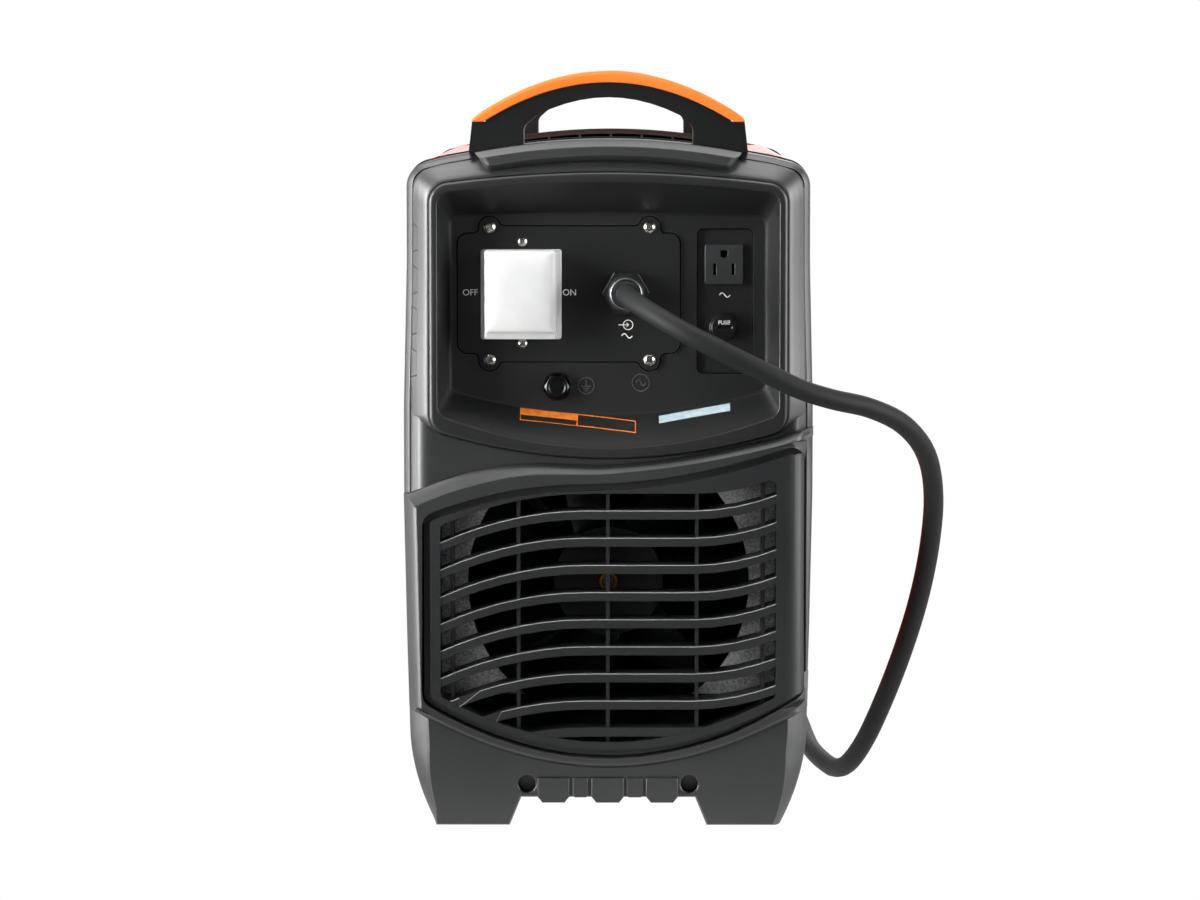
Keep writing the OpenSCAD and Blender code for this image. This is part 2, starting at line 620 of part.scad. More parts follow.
module current_knob() color(black) front() difference() {
  union() {
    bar(knob_at[0], knob_at[1], knob_r, fascia_d - 13, fascia_d - 0.6);
    bar(knob_at[0], knob_at[1], pot_shaft_r, fascia_d - 2, board_d - 0.5);
  }
  box(knob_at[0] - 0.8, knob_at[0] + 0.8, fascia_d - 14, fascia_d - 12, knob_at[1] + 4, knob_at[1] + knob_r + 1);
  for (a = [10:20:350]) bar(knob_at[0] + (knob_r + 0.6) * sin(a), knob_at[1] + (knob_r + 0.6) * cos(a), 1.5, fascia_d - 14, fascia_d - 4);
}
module knob_pot() color(steel) front() difference() {
  bar(knob_at[0], knob_at[1], 9, fascia_d + tub_wall + 0.1, board_d - 0.1);
  bar(knob_at[0], knob_at[1], pot_shaft_r + 0.05, fascia_d, board_d - 0.4);
}
module push_button(x) color([0.7, 0.7, 0.7]) front()
  bar(x, button_z, button_r, fascia_d - 3, board_d - button_travel - 0.3);
module mode_button() push_button(button_x[0]);
module gas_button() push_button(button_x[1]);

// ---- socket panel of the front end
torch_x = 58;
work_x = -58;
inlet_x = 0;
well_r = 30;
well_d = 22;
inlet_z = socket_z - 26;
inlet_well_r = 16;
module well(x, z, r) bar(x, z, r + 2.5, insert_face + 1, well_d + 2.5);
module front_socket_panel() color(dark) front() difference() {
  union() {
    slab(insert_face + insert_t, insert_face + 2 * insert_t) offset(-seam) insert_outline();
    slab(insert_face, insert_face + insert_t) insert_raised();
    well(torch_x, socket_z, well_r);
    well(work_x, socket_z, well_r);
    well(inlet_x, inlet_z, inlet_well_r);
  }
  bar(torch_x, socket_z, well_r, -1, well_d);
  bar(work_x, socket_z, well_r, -1, well_d);
  bar(inlet_x, inlet_z, inlet_well_r, -1, well_d);
  bar(torch_x, socket_z, torch_bore + 5.2, 0, well_d + 9);
  bar(work_x, socket_z, work_bore + 6.2, 0, well_d + 9);
  bar(inlet_x, inlet_z, 6.7, 0, well_d + 9);
  for (k = [0:2]) slab(-1, 12) intersection() {
    louvre_band(louvre_top + 11.6 - k * louvre_pitch, louvre_pitch - louvre_face);
    offset(-6) vent_field();
  }
  edge_roll();
}
module torch_socket() color(brass) front() difference() {
  union() {
    bar(torch_x, socket_z, torch_bore + 9, well_d - 6, well_d - 0.1);
    bar(torch_x, socket_z, torch_bore + 5, 4, well_d + 14);
    hex_bar(torch_x, socket_z, 2 * torch_bore + 18, well_d + 2.6, well_d + 9);
  }
  bar(torch_x, socket_z, torch_bore, 3, well_d + 2);
  bar(torch_x, socket_z, 3, 3, well_d + 15);
}
module work_socket() color(brass) front() difference() {
  union() {
    bar(work_x, socket_z, work_bore + 10, well_d - 6, well_d - 0.1);
    bar(work_x, socket_z, work_bore + 6, 5, well_d + 14);
    hex_bar(work_x, socket_z, 2 * work_bore + 20, well_d + 2.6, well_d + 9);
  }
  bar(work_x, socket_z, work_bore, 4, well_d + 8);
}
module air_inlet() color(brass) front() difference() {
  union() {
    hex_bar(inlet_x, inlet_z, 19, well_d - 6, well_d - 0.1);
    bar(inlet_x, inlet_z, 6.5, well_d - 1, well_d + 16);
    bar(inlet_x, inlet_z, 4.6, 5, well_d);
    for (k = [0:2]) bar(inlet_x, inlet_z, 5.6, 6 + 3.4 * k, 7.6 + 3.4 * k);
  }
  bar(inlet_x, inlet_z, 3, 4, well_d + 17);
}

// ---- cover, base pan and their screws
cover_screws_y = [-150, 0, 150];
cover_screw_z = 93;
slot_h = 5;
slot_gap = 9;
slot_len = 96;
slot_low = 150;
module cover_outline() rounded(cover_r) rect(-cover_x, cover_x, -2 * cover_r, cover_top);
module cover() color(red) difference() {
  slab(cover_d, body_len - cover_d) difference() {
    cover_outline();
    offset(-sheet) cover_outline();
    rect(-half_w, half_w, -3 * cover_r, cover_low);
  }
  for (k = [0:slot_count - 1]) for (y = [-slot_len - 10, 10]) translate([-half_w, y, slot_low + k * (slot_h + slot_gap)])
    cube([2 * half_w, slot_len, slot_h]);
  for (y = cover_screws_y) translate([-half_w, y, cover_screw_z]) rotate([0, 90, 0]) cylinder(r = 2.2, h = 2 * half_w);
}
module cover_screws() color(steel) for (y = cover_screws_y) for (s = [-1, 1]) translate([s * cover_x, y, cover_screw_z])
  rotate([0, s * 90, 0]) {
    cylinder(r = 4.2, h = 2);
    translate([0, 0, -10]) cylinder(r = 2, h = 11);
  }
tongue_x = 112;
// The pan's sides follow the taper of the end mouldings
module pan_section(t) intersection() {
  rect(-pan_x + t, pan_x - t, pan_z + t, pan_top + t);
  offset(-0.6 - t) end_outline();
}
module base_pan() color(zinc) difference() {
  union() {
    slab(cover_d, body_len - cover_d) difference() {
      pan_section(0);
      pan_section(pan_t);
    }
    box(-tongue_x, tongue_x, tab_d, body_len - tab_d, pan_z, pan_z + pan_t);
    both() box(-tongue_x, tongue_x, tab_d, tab_d + pan_t, pan_z, boss[1] + 12);
  }
  for (s = [-1, 1]) bar(s * boss[0], boss[1], screw_r + 0.2, 0, body_len);
  for (y = cover_screws_y) translate([-half_w, y, cover_screw_z]) rotate([0, 90, 0]) cylinder(r = 2.2, h = 2 * half_w);
}
module bezel_screws() color(steel) both() for (s = [-1, 1]) pan_screw(s * boss[0], boss[1], 22, 4.8, screw_r, 20);

// ---- chassis plates and shelf
plate_low = pan_z + pan_t + 0.1;
module chassis_plate_outline() intersection() {
  offset(-bezel_wall - 2) end_outline();
  rect(-half_w, half_w, plate_low, shelf_z - 0.1);
}
module fan_plate() color(zinc) difference() {
  slab(plate_d, plate_d + pan_t) chassis_plate_outline();
  bar(0, fan_z, fan_r, 0, 90);
  for (s = [-1, 1]) bar(s * boss[0], boss[1], screw_r + 2, 0, 90);
}
module front_bulkhead() color(zinc) front() difference() {
  slab(plate_d, plate_d + pan_t) chassis_plate_outline();
  rounded_window(-118, 118, 60, 240);
  for (s = [-1, 1]) bar(s * boss[0], boss[1], screw_r + 2, 0, 90);
}
module rounded_window(x0, x1, z0, z1) slab(0, 90) rounded(8) rect(x0, x1, z0, z1);
shelf_x = 122;
module shelf() color(zinc) box(-shelf_x, shelf_x, plate_d, body_len - plate_d, shelf_z, shelf_z + shelf_t);

// ---- axial fan
frame_d = plate_d + pan_t + 0.1;
frame_len = 46;
hub_r = 38;
rotor_d = [frame_d + 3, frame_d + 36];
spider_d = frame_d + frame_len - 6;
module fan_frame() color(black) {
  difference() {
    bar(0, fan_z, fan_r + 4, frame_d, frame_d + frame_len);
    bar(0, fan_z, fan_r + 1, 0, 200);
  }
  slab(spider_d, spider_d + 4) translate([0, fan_z]) {
    circle(r = hub_r - 4);
    for (a = [45:90:315]) rotate(a) translate([hub_r - 6, -4]) square([fan_r + 9 - hub_r, 8]);
  }
  bar(0, fan_z, spindle_r, rotor_d[0] - 2, spider_d + 1);
}
module fan_rotor() color(black) difference() {
  union() {
    bar(0, fan_z, hub_r, rotor_d[0], rotor_d[1]);
    for (k = [0:blade_count - 1]) translate([0, (rotor_d[0] + rotor_d[1]) / 2 - body_len / 2, fan_z])
      rotate([0, k * 360 / blade_count, 0]) translate([hub_r - 3, 0, 0]) rotate([38, 0, 0])
        translate([0, -1.2, -21]) cube([fan_r + 1 - hub_r, 2.4, 42]);
  }
  bar(0, fan_z, spindle_r + 0.05, 0, 200);
  bar(0, fan_z, spindle_r + 2.5, 0, rotor_d[0] + 3);
}

// ---- power parts inside
sink_x = [8, 118];
sink_len = 240;
sink_base = 8;
fin_h = 44;
fin_count = 11;
module heatsinks() color(steel) for (s = [-1, 1]) translate([s * (sink_x[0] + sink_x[1]) / 2, -110, 0]) {
  w = sink_x[1] - sink_x[0];
  translate([-w / 2, 0, shelf_z - 0.1 - sink_base]) cube([w, sink_len, sink_base]);
  for (k = [0:fin_count - 1]) translate([-w / 2 + k * (w - 2) / (fin_count - 1), 0, shelf_z - 0.1 - sink_base - fin_h])
    cube([2, sink_len, fin_h + 1]);
}
core = [120, 76, 100];
core_at = [-48, -60];
floor_in = pan_z + pan_t + 0.1;
module transformer() color([0.35, 0.2, 0.12]) translate([core_at[0], core_at[1], floor_in]) {
  difference() {
    translate([-core[0] / 2, -core[1] / 2, 0]) cube(core);
    for (s = [-1, 1]) translate([s * core[0] / 4 - core[0] / 8, -core[1], core[2] / 5]) cube([core[0] / 4, 2 * core[1], core[2] * 0.6]);
  }
  for (s = [-1, 1]) translate([0, s * (core[1] / 2 + 9), core[2] / 2]) cube([core[0] / 4 + 50, 18.2, core[2] * 0.58], center = true);
}
module choke() color([0.6, 0.35, 0.15]) translate([62, -50, floor_in]) difference() {
  cylinder(r = 46, h = 48);
  translate([0, 0, -1]) cylinder(r = 18, h = 50);
}
module power_board() color(board) translate([-90, -150, shelf_z + shelf_t + 8]) {
  cube([180, 220, 1.6]);
  for (x = [6, 174]) for (y = [6, 214]) translate([x, y, -7.9]) cylinder(r = 4, h = 8);
}
module capacitors() color([0.2, 0.25, 0.5]) for (x = [-54, 0, 54]) for (y = [-60, 0])
  translate([x, y, shelf_z + shelf_t + 9.7]) cylinder(r = 17.5, h = 50);
module control_board() color(board) front() slab(board_d, board_d + 1.6) rect(-92, 92, 296, 420);
module air_valve() color(steel) {
  translate([inlet_x - 16, 150, floor_in]) cube([32, 40, inlet_z - floor_in + 14]);
  translate([inlet_x, 170, inlet_z + 13]) cylinder(r = 13, h = 36);
}
hose_r = 5;
module air_hose() color([0.1, 0.1, 0.1]) translate([inlet_x, 190.1, inlet_z]) rotate([-90, 0, 0])
  cylinder(r = hose_r, h = body_len / 2 - well_d - 16.2 - 190.1);
module output_bars() color([0.75, 0.42, 0.25]) for (x = [-torch_x, -work_x])
  translate([x - 8, body_len / 2 - well_d - 14 - 5, socket_z - 8]) {
    translate([0, 0.9, 0]) cube([16, 4, shelf_z - sink_base - fin_h - socket_z]);
  }

// ---- supply cord: a free stretch, a stored coil and its plug
// The route leaves the gland, bows out past the right edge, drops and runs back along the floor
route = [[12.2, -268, 367.5], [12.2, -282, 367.5], [18, -305, 364], [32, -324, 356], [50, -335, 346], [70, -339, 336],
  [90, -339, 326], [110, -336, 316], [131, -330, 306], [152, -321, 299], [178, -306, 292], [202, -286, 279],
  [219, -262, 257], [226, -237, 226], [225, -214, 188], [219, -193, 148], [209, -173, 108], [197, -152, 70],
  [185, -127, 37], [174, -97, 15], [165, -62, 7.2], [158, -20, 7], [153, 30, 7], [151, 90, 7], [150, 150, 7],
  [149, 210, 7], [148, 270, 7], [148, 330, 7], [148, 372, 7]];
run_sides = 8;
function unit(v) = v / norm(v);
function tangent(p, i) = unit(p[min(i + 1, len(p) - 1)] - p[max(i - 1, 0)]);
function carry(u, t) = unit(u - (u * t) * t);
function frames(p, i, u, acc) = i == len(p) ? acc
  : let(v = carry(u, tangent(p, i))) frames(p, i + 1, v, concat(acc, [v]));
module tube(p, r, n, start) {
  f = frames(p, 0, start, []);
  pts = [for (i = [0:len(p) - 1]) let(t = tangent(p, i), u = f[i], w = cross(t, u))
    for (j = [0:n - 1]) p[i] + r * (cos(360 * j / n) * u + sin(360 * j / n) * w)];
  last = (len(p) - 1) * n;
  faces = concat(
    [for (i = [0:len(p) - 2]) for (j = [0:n - 1]) [i * n + j, i * n + (j + 1) % n, (i + 1) * n + j]],
    [for (i = [0:len(p) - 2]) for (j = [0:n - 1]) [i * n + (j + 1) % n, (i + 1) * n + (j + 1) % n, (i + 1) * n + j]],
    [for (j = [1:n - 2]) [0, j + 1, j]],
    [for (j = [1:n - 2]) [last, last + j, last + j + 1]]);
  polyhedron(pts, faces);
}
module cord_run() color(black) tube(route, cord_d / 2, run_sides, [1, 0, 0]);

// The coil spirals in along the floor, climbs a layer in half a turn and spirals out again
coil_at = [62, 400];
coil_r = 86;
coil_pitch = cord_d + 0.8;
coil_layer = cord_d + 0.6;
coil_in = 1.75;
coil_climb = 0.5;
coil_turns = 4.25;
coil_dip = 2;
coil_sides = 6;
rings_per_turn = 24;
function ease(u) = u * u * (3 - 2 * u);
function coil_radius(t) = t < coil_in ? coil_r - coil_pitch * t
  : t < coil_in + coil_climb ? coil_r - coil_pitch * coil_in - coil_dip * sin(180 * (t - coil_in) / coil_climb)
  : coil_r - coil_pitch * coil_in + coil_pitch * (t - coil_in - coil_climb);
function coil_height(t) = cord_d / 2 + coil_layer * ease(min(1, max(0, (t - coil_in) / coil_climb)));
function coil_point(t) = [coil_at[0] + coil_radius(t) * cos(360 * t), coil_at[1] + coil_radius(t) * sin(360 * t), coil_height(t)];
plug_z = 29;
plug_x = 22;
coil_end = coil_point(coil_turns);
coil_path = concat([[route[28][0], route[28][1], cord_d / 2], [route[28][0], route[28][1] + cord_d, cord_d / 2]],
  [for (i = [0:coil_turns * rings_per_turn]) coil_point(i / rings_per_turn)],
  [[plug_x + cord_d, coil_end[1], plug_z], [plug_x, coil_end[1], plug_z]]);
module cord_coil() color(black) tube(coil_path, cord_d / 2, coil_sides, [1, 0, 0]);
// Least distance between points of the coil that are more than half a turn apart
coil_least = min([for (i = [2:len(coil_path) - 3]) for (j = [i + rings_per_turn / 2:len(coil_path) - 3])
  norm(coil_path[i] - coil_path[j])]);
echo(coil_gap = coil_least - cord_d);

// ---- industrial plug with four pins under its shroud
plug_r = 28.5;
plug_len = 118;
module along_minus_x() translate([plug_x, coil_end[1], plug_z]) rotate([0, -90, 0]) children();
module cord_plug() color([0.8, 0.1, 0.08]) along_minus_x() difference() {
  rotate_extrude() polygon([[0, 0], [11, 0], [12, 4], [13, 26], [20, 32], [23, 62], [plug_r, 66], [plug_r, plug_len], [0, plug_len]]);
  translate([0, 0, plug_len - 38]) cylinder(r = plug_r - 3, h = 40);
}
module plug_pins() color(brass) along_minus_x() for (a = [0:90:270]) rotate(a)
  translate([14, 0, plug_len - 38]) cylinder(r = a == 0 ? 4 : 3, h = 34);

rear_bezel();
rear_grille();
rear_recess();
breaker_plate();
breaker_plate_screws();
breaker_body();
breaker_toggles();
breaker_cover();
breaker_cover_screws();
gland_body();
gland_dome();
gland_seal();
gland_locknut();
outlet();
fuse_holder();
fuse_cap();
fuse_link();
earth_bolt();
earth_nut();
rear_handle();
rear_grip();
handle_bolts();
front_bezel();
front_fascia();
front_socket_panel();
front_handle();
front_grip();
display_window();
indicator_lamps();
current_knob();
knob_pot();
mode_button();
gas_button();
torch_socket();
work_socket();
air_inlet();
cover();
cover_screws();
base_pan();
bezel_screws();
fan_plate();
fan_frame();
fan_rotor();
front_bulkhead();
shelf();
heatsinks();
transformer();
choke();
power_board();
capacitors();
control_board();
air_valve();
air_hose();
output_bars();
cord_run();
cord_coil();
cord_plug();
plug_pins();
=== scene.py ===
import math

import bmesh
import bpy
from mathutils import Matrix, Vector
from mathutils.geometry import tessellate_polygon


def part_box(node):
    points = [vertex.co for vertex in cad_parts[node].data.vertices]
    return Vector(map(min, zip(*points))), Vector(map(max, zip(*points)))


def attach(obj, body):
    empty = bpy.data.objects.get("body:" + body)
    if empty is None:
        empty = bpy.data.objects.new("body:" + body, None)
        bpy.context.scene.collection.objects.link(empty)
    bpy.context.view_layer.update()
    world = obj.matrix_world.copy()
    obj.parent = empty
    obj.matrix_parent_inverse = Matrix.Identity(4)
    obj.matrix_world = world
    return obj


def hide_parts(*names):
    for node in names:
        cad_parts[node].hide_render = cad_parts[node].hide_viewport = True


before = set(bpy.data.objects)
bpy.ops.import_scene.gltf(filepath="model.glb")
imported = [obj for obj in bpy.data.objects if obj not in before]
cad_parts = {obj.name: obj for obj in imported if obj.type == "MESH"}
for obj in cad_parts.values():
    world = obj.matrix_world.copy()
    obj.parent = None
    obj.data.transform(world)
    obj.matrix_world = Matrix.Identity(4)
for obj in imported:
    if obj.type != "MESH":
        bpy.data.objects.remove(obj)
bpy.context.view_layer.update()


# ---- Studio
# The unit stands on a white sweep with a white backdrop. Strip lamps with narrowed beams, one to
# each side in front, draw the light down its rounded sides, panels and a narrow lamp above light
# its top, and weak lamps fill its face and its far end.

camera_lens = 131.86
camera_at = Vector((0.0123, -3.28, 0.521))
camera_aim = Vector((-0.0056, -0.28, 0.2612))
camera = bpy.data.objects.new("camera", bpy.data.cameras.new("camera"))
camera.data.lens = camera_lens
camera.data.clip_end = 60
camera.location = camera_at
camera.rotation_euler = (camera_aim - camera_at).to_track_quat("-Z", "Y").to_euler()
bpy.context.scene.collection.objects.link(camera)
bpy.context.scene.camera = camera
bpy.context.scene.view_settings.view_transform = "Standard"

lamps = {
    "left_strip": dict(at=(-1.25, -0.8, 0.45), aim=(-0.1, -0.28, 0.28), size=(0.65, 1.3), watts=9, spread=60),
    "left_wing": dict(at=(-1.6, -1.6, 0.5), aim=(0, -0.28, 0.3), size=(1.1, 1.2), watts=1.3),
    "right_strip": dict(at=(1.25, -0.7, 0.45), aim=(0.1, -0.28, 0.28), size=(0.8, 1.3), watts=4.5, spread=60),
    "right_wing": dict(at=(1.6, -1.6, 0.5), aim=(0, -0.28, 0.3), size=(0.9, 1.2), watts=0.9),
    "top_panel": dict(at=(-0.6, -0.35, 1.5), aim=(-0.1, -0.28, 0.3), size=(0.9, 0.7), watts=5),
    "top_soft": dict(at=(0.45, -0.2, 1.6), aim=(0.05, -0.2, 0.3), size=(0.9, 0.7), watts=3.5),
    "crest_lamp": dict(at=(-0.05, -0.35, 1.3), aim=(-0.05, -0.3, 0.3), size=(0.9, 0.3), watts=4.5),
    "face_fill": dict(at=(-0.6, -3.3, 0.75), aim=(0, -0.28, 0.25), size=(1, 0.8), watts=1.4),
    "front_fill": dict(at=(0.9, 2.7, 1.5), aim=(0, 0.28, 0.28), size=(1.2, 1.2), watts=13),
}
for name, lamp in lamps.items():
    data = bpy.data.lights.new(name, "AREA")
    data.shape = "RECTANGLE"
    data.size, data.size_y = lamp["size"]
    data.energy = lamp["watts"]
    data.spread = math.radians(lamp.get("spread", 180))
    light = bpy.data.objects.new(name, data)
    light.location = lamp["at"]
    light.rotation_euler = (Vector(lamp["aim"]) - Vector(lamp["at"])).to_track_quat("-Z", "Y").to_euler()
    light.visible_camera = False
    bpy.context.scene.collection.objects.link(light)


class Layer:
    """One socket on its way to a finish. Arithmetic on layers adds the Math nodes that do it."""

    def __init__(self, tree, socket=None):
        self.tree, self.socket = tree, socket

    def node(self, kind, settings=(), inputs=(), output=0):
        """Adds a shader node: its settings first, then the values or links of its sockets."""
        made = self.tree.nodes.new("ShaderNode" + kind)
        for name, value in dict(settings).items():
            if name == "stops":
                steps = made.color_ramp.elements
                for _ in value[2:]:
                    steps.new(0.5)
                for step, (place, colour) in zip(steps, value):
                    step.position, step.color = place, colour
            else:
                setattr(made, name, value)
        for name, value in dict(inputs).items():
            if isinstance(value, Layer):
                self.tree.links.new(value.socket, made.inputs[name])
            else:
                made.inputs[name].default_value = value
        return Layer(self.tree, made.outputs[output])

    def math(self, operation, *terms):
        return self.node("Math", {"operation": operation}, dict(enumerate(terms)))

    def feeds(self, shader, socket):
        self.tree.links.new(self.socket, shader.inputs[socket])

    def __add__(self, other):
        return self.math("ADD", self, other)

    def __sub__(self, other):
        return self.math("SUBTRACT", self, other)

    def __rsub__(self, other):
        return self.math("SUBTRACT", other, self)

    def __mul__(self, other):
        return self.math("MULTIPLY", self, other)

    def __pow__(self, other):
        return self.math("POWER", self, other)

    def __gt__(self, other):
        return self.math("GREATER_THAN", self, other)

    __radd__, __rmul__ = __add__, __mul__


def ray_kinds(tree):
    """What meets the shader: a ray from the camera, one from a mirror, or one through glass."""
    rays = tree.nodes.new("ShaderNodeLightPath")
    return [Layer(tree, rays.outputs[f"Is {kind} Ray"]) for kind in ("Camera", "Glossy", "Transmission")]


def rising(tree, measure, slope, start=0):
    """A blend from 0 to 1 along the length of the unit."""
    along = Layer(tree).node("SeparateXYZ", {}, {0: Layer(tree).node("TexCoord", output=measure)}, output=1)
    return along.node("Clamp", {}, {"Value": along * slope + start})


sky = bpy.data.worlds.new("studio")
bpy.context.scene.world = sky
sky.use_nodes = True
sky_shader = sky.node_tree.nodes["Background"]
sky_shader.inputs["Color"].default_value = (1, 1, 1, 1)
room_light = 0.09
room_mirror = 0.11

# a pale backdrop stands behind the unit, and the room on the camera's side is darker
seen, mirrored, through = ray_kinds(sky.node_tree)
in_mirror = room_mirror + (1 - room_mirror) * rising(sky.node_tree, "Generated", 4)
unseen = mirrored * in_mirror + through + (1 - mirrored) * (1 - through) * room_light
(seen + (1 - seen) * unseen).feeds(sky_shader, "Strength")

# the floor glows white for the camera, and its front part stays dark in the unit's gloss
sweep_half, sweep_tone, sweep_dimmed = 14, 0.7, 0.62
sweep = bpy.data.meshes.new("sweep")
corners = [(x * sweep_half, y * sweep_half, 0) for x, y in ((-1, -1), (1, -1), (1, 1), (-1, 1))]
sweep.from_pydata(corners, [], [(0, 1, 2, 3)])
sweep_floor = bpy.data.objects.new("sweep", sweep)
bpy.context.scene.collection.objects.link(sweep_floor)
sweep_paint = bpy.data.materials.new("sweep_paint")
sweep_paint.use_nodes = True
floor_tree = sweep_paint.node_tree
floor_shader = floor_tree.nodes["Principled BSDF"]
floor_shader.inputs["Roughness"].default_value = 0.9
glow = floor_tree.nodes.new("ShaderNodeEmission")
lit = floor_tree.nodes.new("ShaderNodeMixShader")
seen, mirrored, through = ray_kinds(floor_tree)
(seen + through * 0.5 + mirrored * rising(floor_tree, "Object", 4, 2.2)).feeds(lit, "Fac")
(sweep_tone - mirrored * sweep_dimmed).feeds(floor_shader, "Base Color")
floor_tree.links.new(floor_shader.outputs[0], lit.inputs[1])
floor_tree.links.new(glow.outputs[0], lit.inputs[2])
floor_tree.links.new(lit.outputs[0], floor_tree.nodes["Material Output"].inputs["Surface"])
sweep.materials.append(sweep_paint)


# ---- Supply cord
# A four-core rubber cord, 14 mm thick. It bows out of its gland, drops past the right
# side, runs back along the floor and is stored in a flat round coil with its plug on top.

mm = 0.001
cord_thick = 14
cord_route = [
    (12.2, -268, 367.5), (12.2, -282, 367.5), (18, -305, 364), (32, -324, 356), (50, -335, 346), (70, -339, 336),
    (90, -339, 326), (110, -336, 316), (131, -330, 306), (152, -321, 299), (178, -306, 292), (202, -286, 279),
    (219, -262, 257), (226, -237, 226), (225, -214, 188), (219, -193, 148), (209, -173, 108), (197, -152, 70),
    (185, -127, 37), (174, -97, 15), (165, -62, 7.2), (158, -20, 7), (153, 30, 7), (151, 90, 7), (150, 150, 7),
    (149, 210, 7), (148, 270, 7), (148, 330, 7), (148, 372, 7), (148, 386, 7)]
coil_middle = (62, 400)
coil_reach, coil_pitch, coil_layer = 86, 14.8, 14.6
coil_in, coil_climb, coil_turns, coil_dip = 1.75, 0.5, 4.25, 2
plug_mouth, plug_lead = (22, 29), 14


def coil_point(turn):
    """A point of the coil: inwards along the floor, up a layer, and outwards again."""
    rise = min(1, max(0, (turn - coil_in) / coil_climb))
    if turn < coil_in:
        reach = coil_reach - coil_pitch * turn
    elif turn < coil_in + coil_climb:
        reach = coil_reach - coil_pitch * coil_in - coil_dip * math.sin(math.pi * rise)
    else:
        reach = coil_reach - coil_pitch * (2 * coil_in + coil_climb - turn)
    angle = 2 * math.pi * turn
    return (coil_middle[0] + reach * math.cos(angle), coil_middle[1] + reach * math.sin(angle),
            cord_thick / 2 + coil_layer * rise * rise * (3 - 2 * rise))


def through_points(points, between):
    """A smooth line through the points, with some more laid between each two."""
    line = []
    for i in range(len(points) - 1):
        p0, p1, p2, p3 = (Vector(points[min(max(k, 0), len(points) - 1)]) for k in (i - 1, i, i + 1, i + 2))
        for k in range(between):
            t = k / between
            line.append(0.5 * (2 * p1 + (p2 - p0) * t + (2 * p0 - 5 * p1 + 4 * p2 - p3) * t * t
                               + (3 * p1 - p0 - 3 * p2 + p3) * t * t * t))
    return line + [Vector(points[-1])]


coil_steps, route_steps = 40, 5
coil_last = coil_point(coil_turns)
cord_line = through_points(cord_route, route_steps)[:-1]
cord_line += [Vector(coil_point(k / coil_steps)) for k in range(int(coil_turns * coil_steps) + 1)]
cord_line += [Vector((plug_mouth[0] + lead, coil_last[1], plug_mouth[1])) for lead in (plug_lead, 0)]
cord_line = [Vector((p.x, p.y, max(p.z, cord_thick / 2))) * mm for p in cord_line]
cord_length = sum((b - a).length for a, b in zip(cord_line, cord_line[1:]))

cord_curve = bpy.data.curves.new("supply_cord", "CURVE")
cord_curve.dimensions = "3D"
cord_curve.bevel_depth = cord_thick / 2 * mm
cord_curve.bevel_resolution = 6
cord_curve.use_fill_caps = True
strand = cord_curve.splines.new("POLY")
strand.points.add(len(cord_line) - 1)
for point, place in zip(strand.points, cord_line):
    point.co = (*place, 1)
strand.use_smooth = True
supply_cord = bpy.data.objects.new("supply_cord", cord_curve)
bpy.context.scene.collection.objects.link(supply_cord)


def ink(code):
    """The paint that shows as a web colour such as 2f3031."""
    values = [int(code[k:k + 2], 16) / 255 for k in (0, 2, 4)]
    return (*(v / 12.92 if v <= 0.04045 else ((v + 0.055) / 1.055) ** 2.4 for v in values), 1)


def new_skin(name, **fixed):
    """A new finish: its material, its shader and the place that its patterns are drawn from."""
    material = bpy.data.materials.new(name)
    material.use_nodes = True
    shader = material.node_tree.nodes["Principled BSDF"]
    for socket, value in fixed.items():
        shader.inputs[socket.replace("_", " ")].default_value = value
    return material, shader, Layer(material.node_tree).node("TexCoord", output="Object")


def noise(place, scale, detail=2.0, rough=0.5):
    """A cloudy pattern laid over a piece."""
    return place.node("TexNoise", {}, {"Vector": place, "Scale": scale, "Detail": detail, "Roughness": rough})


def tint(tone, low, dark, high, light):
    """A tone turned into a colour, between a dark stop and a light one."""
    return tone.node("ValToRGB", {"stops": [(low, ink(dark)), (high, ink(light))]}, {0: tone})


def relief(height, strength, depth, **more):
    """A pattern turned into fine relief, of a depth in millimetres."""
    return height.node("Bump", {}, {"Height": height, "Strength": strength, "Distance": depth * mm, **more})


def rubber(name, dark, light, rough=0.55, grain=1400, depth=0.08, **fixed):
    """Soft rubber: a fine dull grain, faint paler smears from handling, and dust in the grain."""
    material, shader, place = new_skin(name, **fixed)
    fine, smear = noise(place, grain, 3.0), noise(place, 14.0, 5.0, 0.6)
    dust = (noise(place, 420.0, 1.0) > 0.69) * 0.35
    tint(smear * 0.7 + fine * 0.3 + dust, 0.3, dark, 0.8, light).feeds(shader, "Base Color")
    (rough - 0.1 + fine * 0.12 + smear * 0.1).feeds(shader, "Roughness")
    relief(fine, 0.35, depth).feeds(shader, "Normal")
    return material


cord_curve.materials.append(rubber("cord_rubber", "101112", "1c1d1e", rough=0.62, Specular_IOR_Level=0.3))
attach(supply_cord, "root")
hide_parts("cord_run", "cord_coil")


# ---- Cord plug
# A red four-pin industrial plug lies on the coil. Its body and shroud are moulded nylon
# and its four pins are turned brass.


edge_turn = 28


def dress(name, material, edge=0.4, steps=2):
    """Gives a solid its finish and breaks its sharp edges by some tenths of a millimetre."""
    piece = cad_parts[name]
    for place in piece.material_slots:
        place.material = material
    weld = piece.modifiers.new("weld", "WELD")
    weld.merge_threshold = 0.01 * mm
    flat = piece.modifiers.new("flat", "DECIMATE")
    flat.decimate_type, flat.angle_limit = "DISSOLVE", math.radians(0.6)
    if edge:
        soft = piece.modifiers.new("soft", "BEVEL")
        soft.width, soft.segments = edge * mm, steps
        soft.limit_method, soft.angle_limit = "ANGLE", math.radians(edge_turn)
    piece.modifiers.new("skin", "NODES").node_group = smooth_skin
    even = piece.modifiers.new("even", "WEIGHTED_NORMAL")
    even.keep_sharp, even.weight = True, 70
    return piece


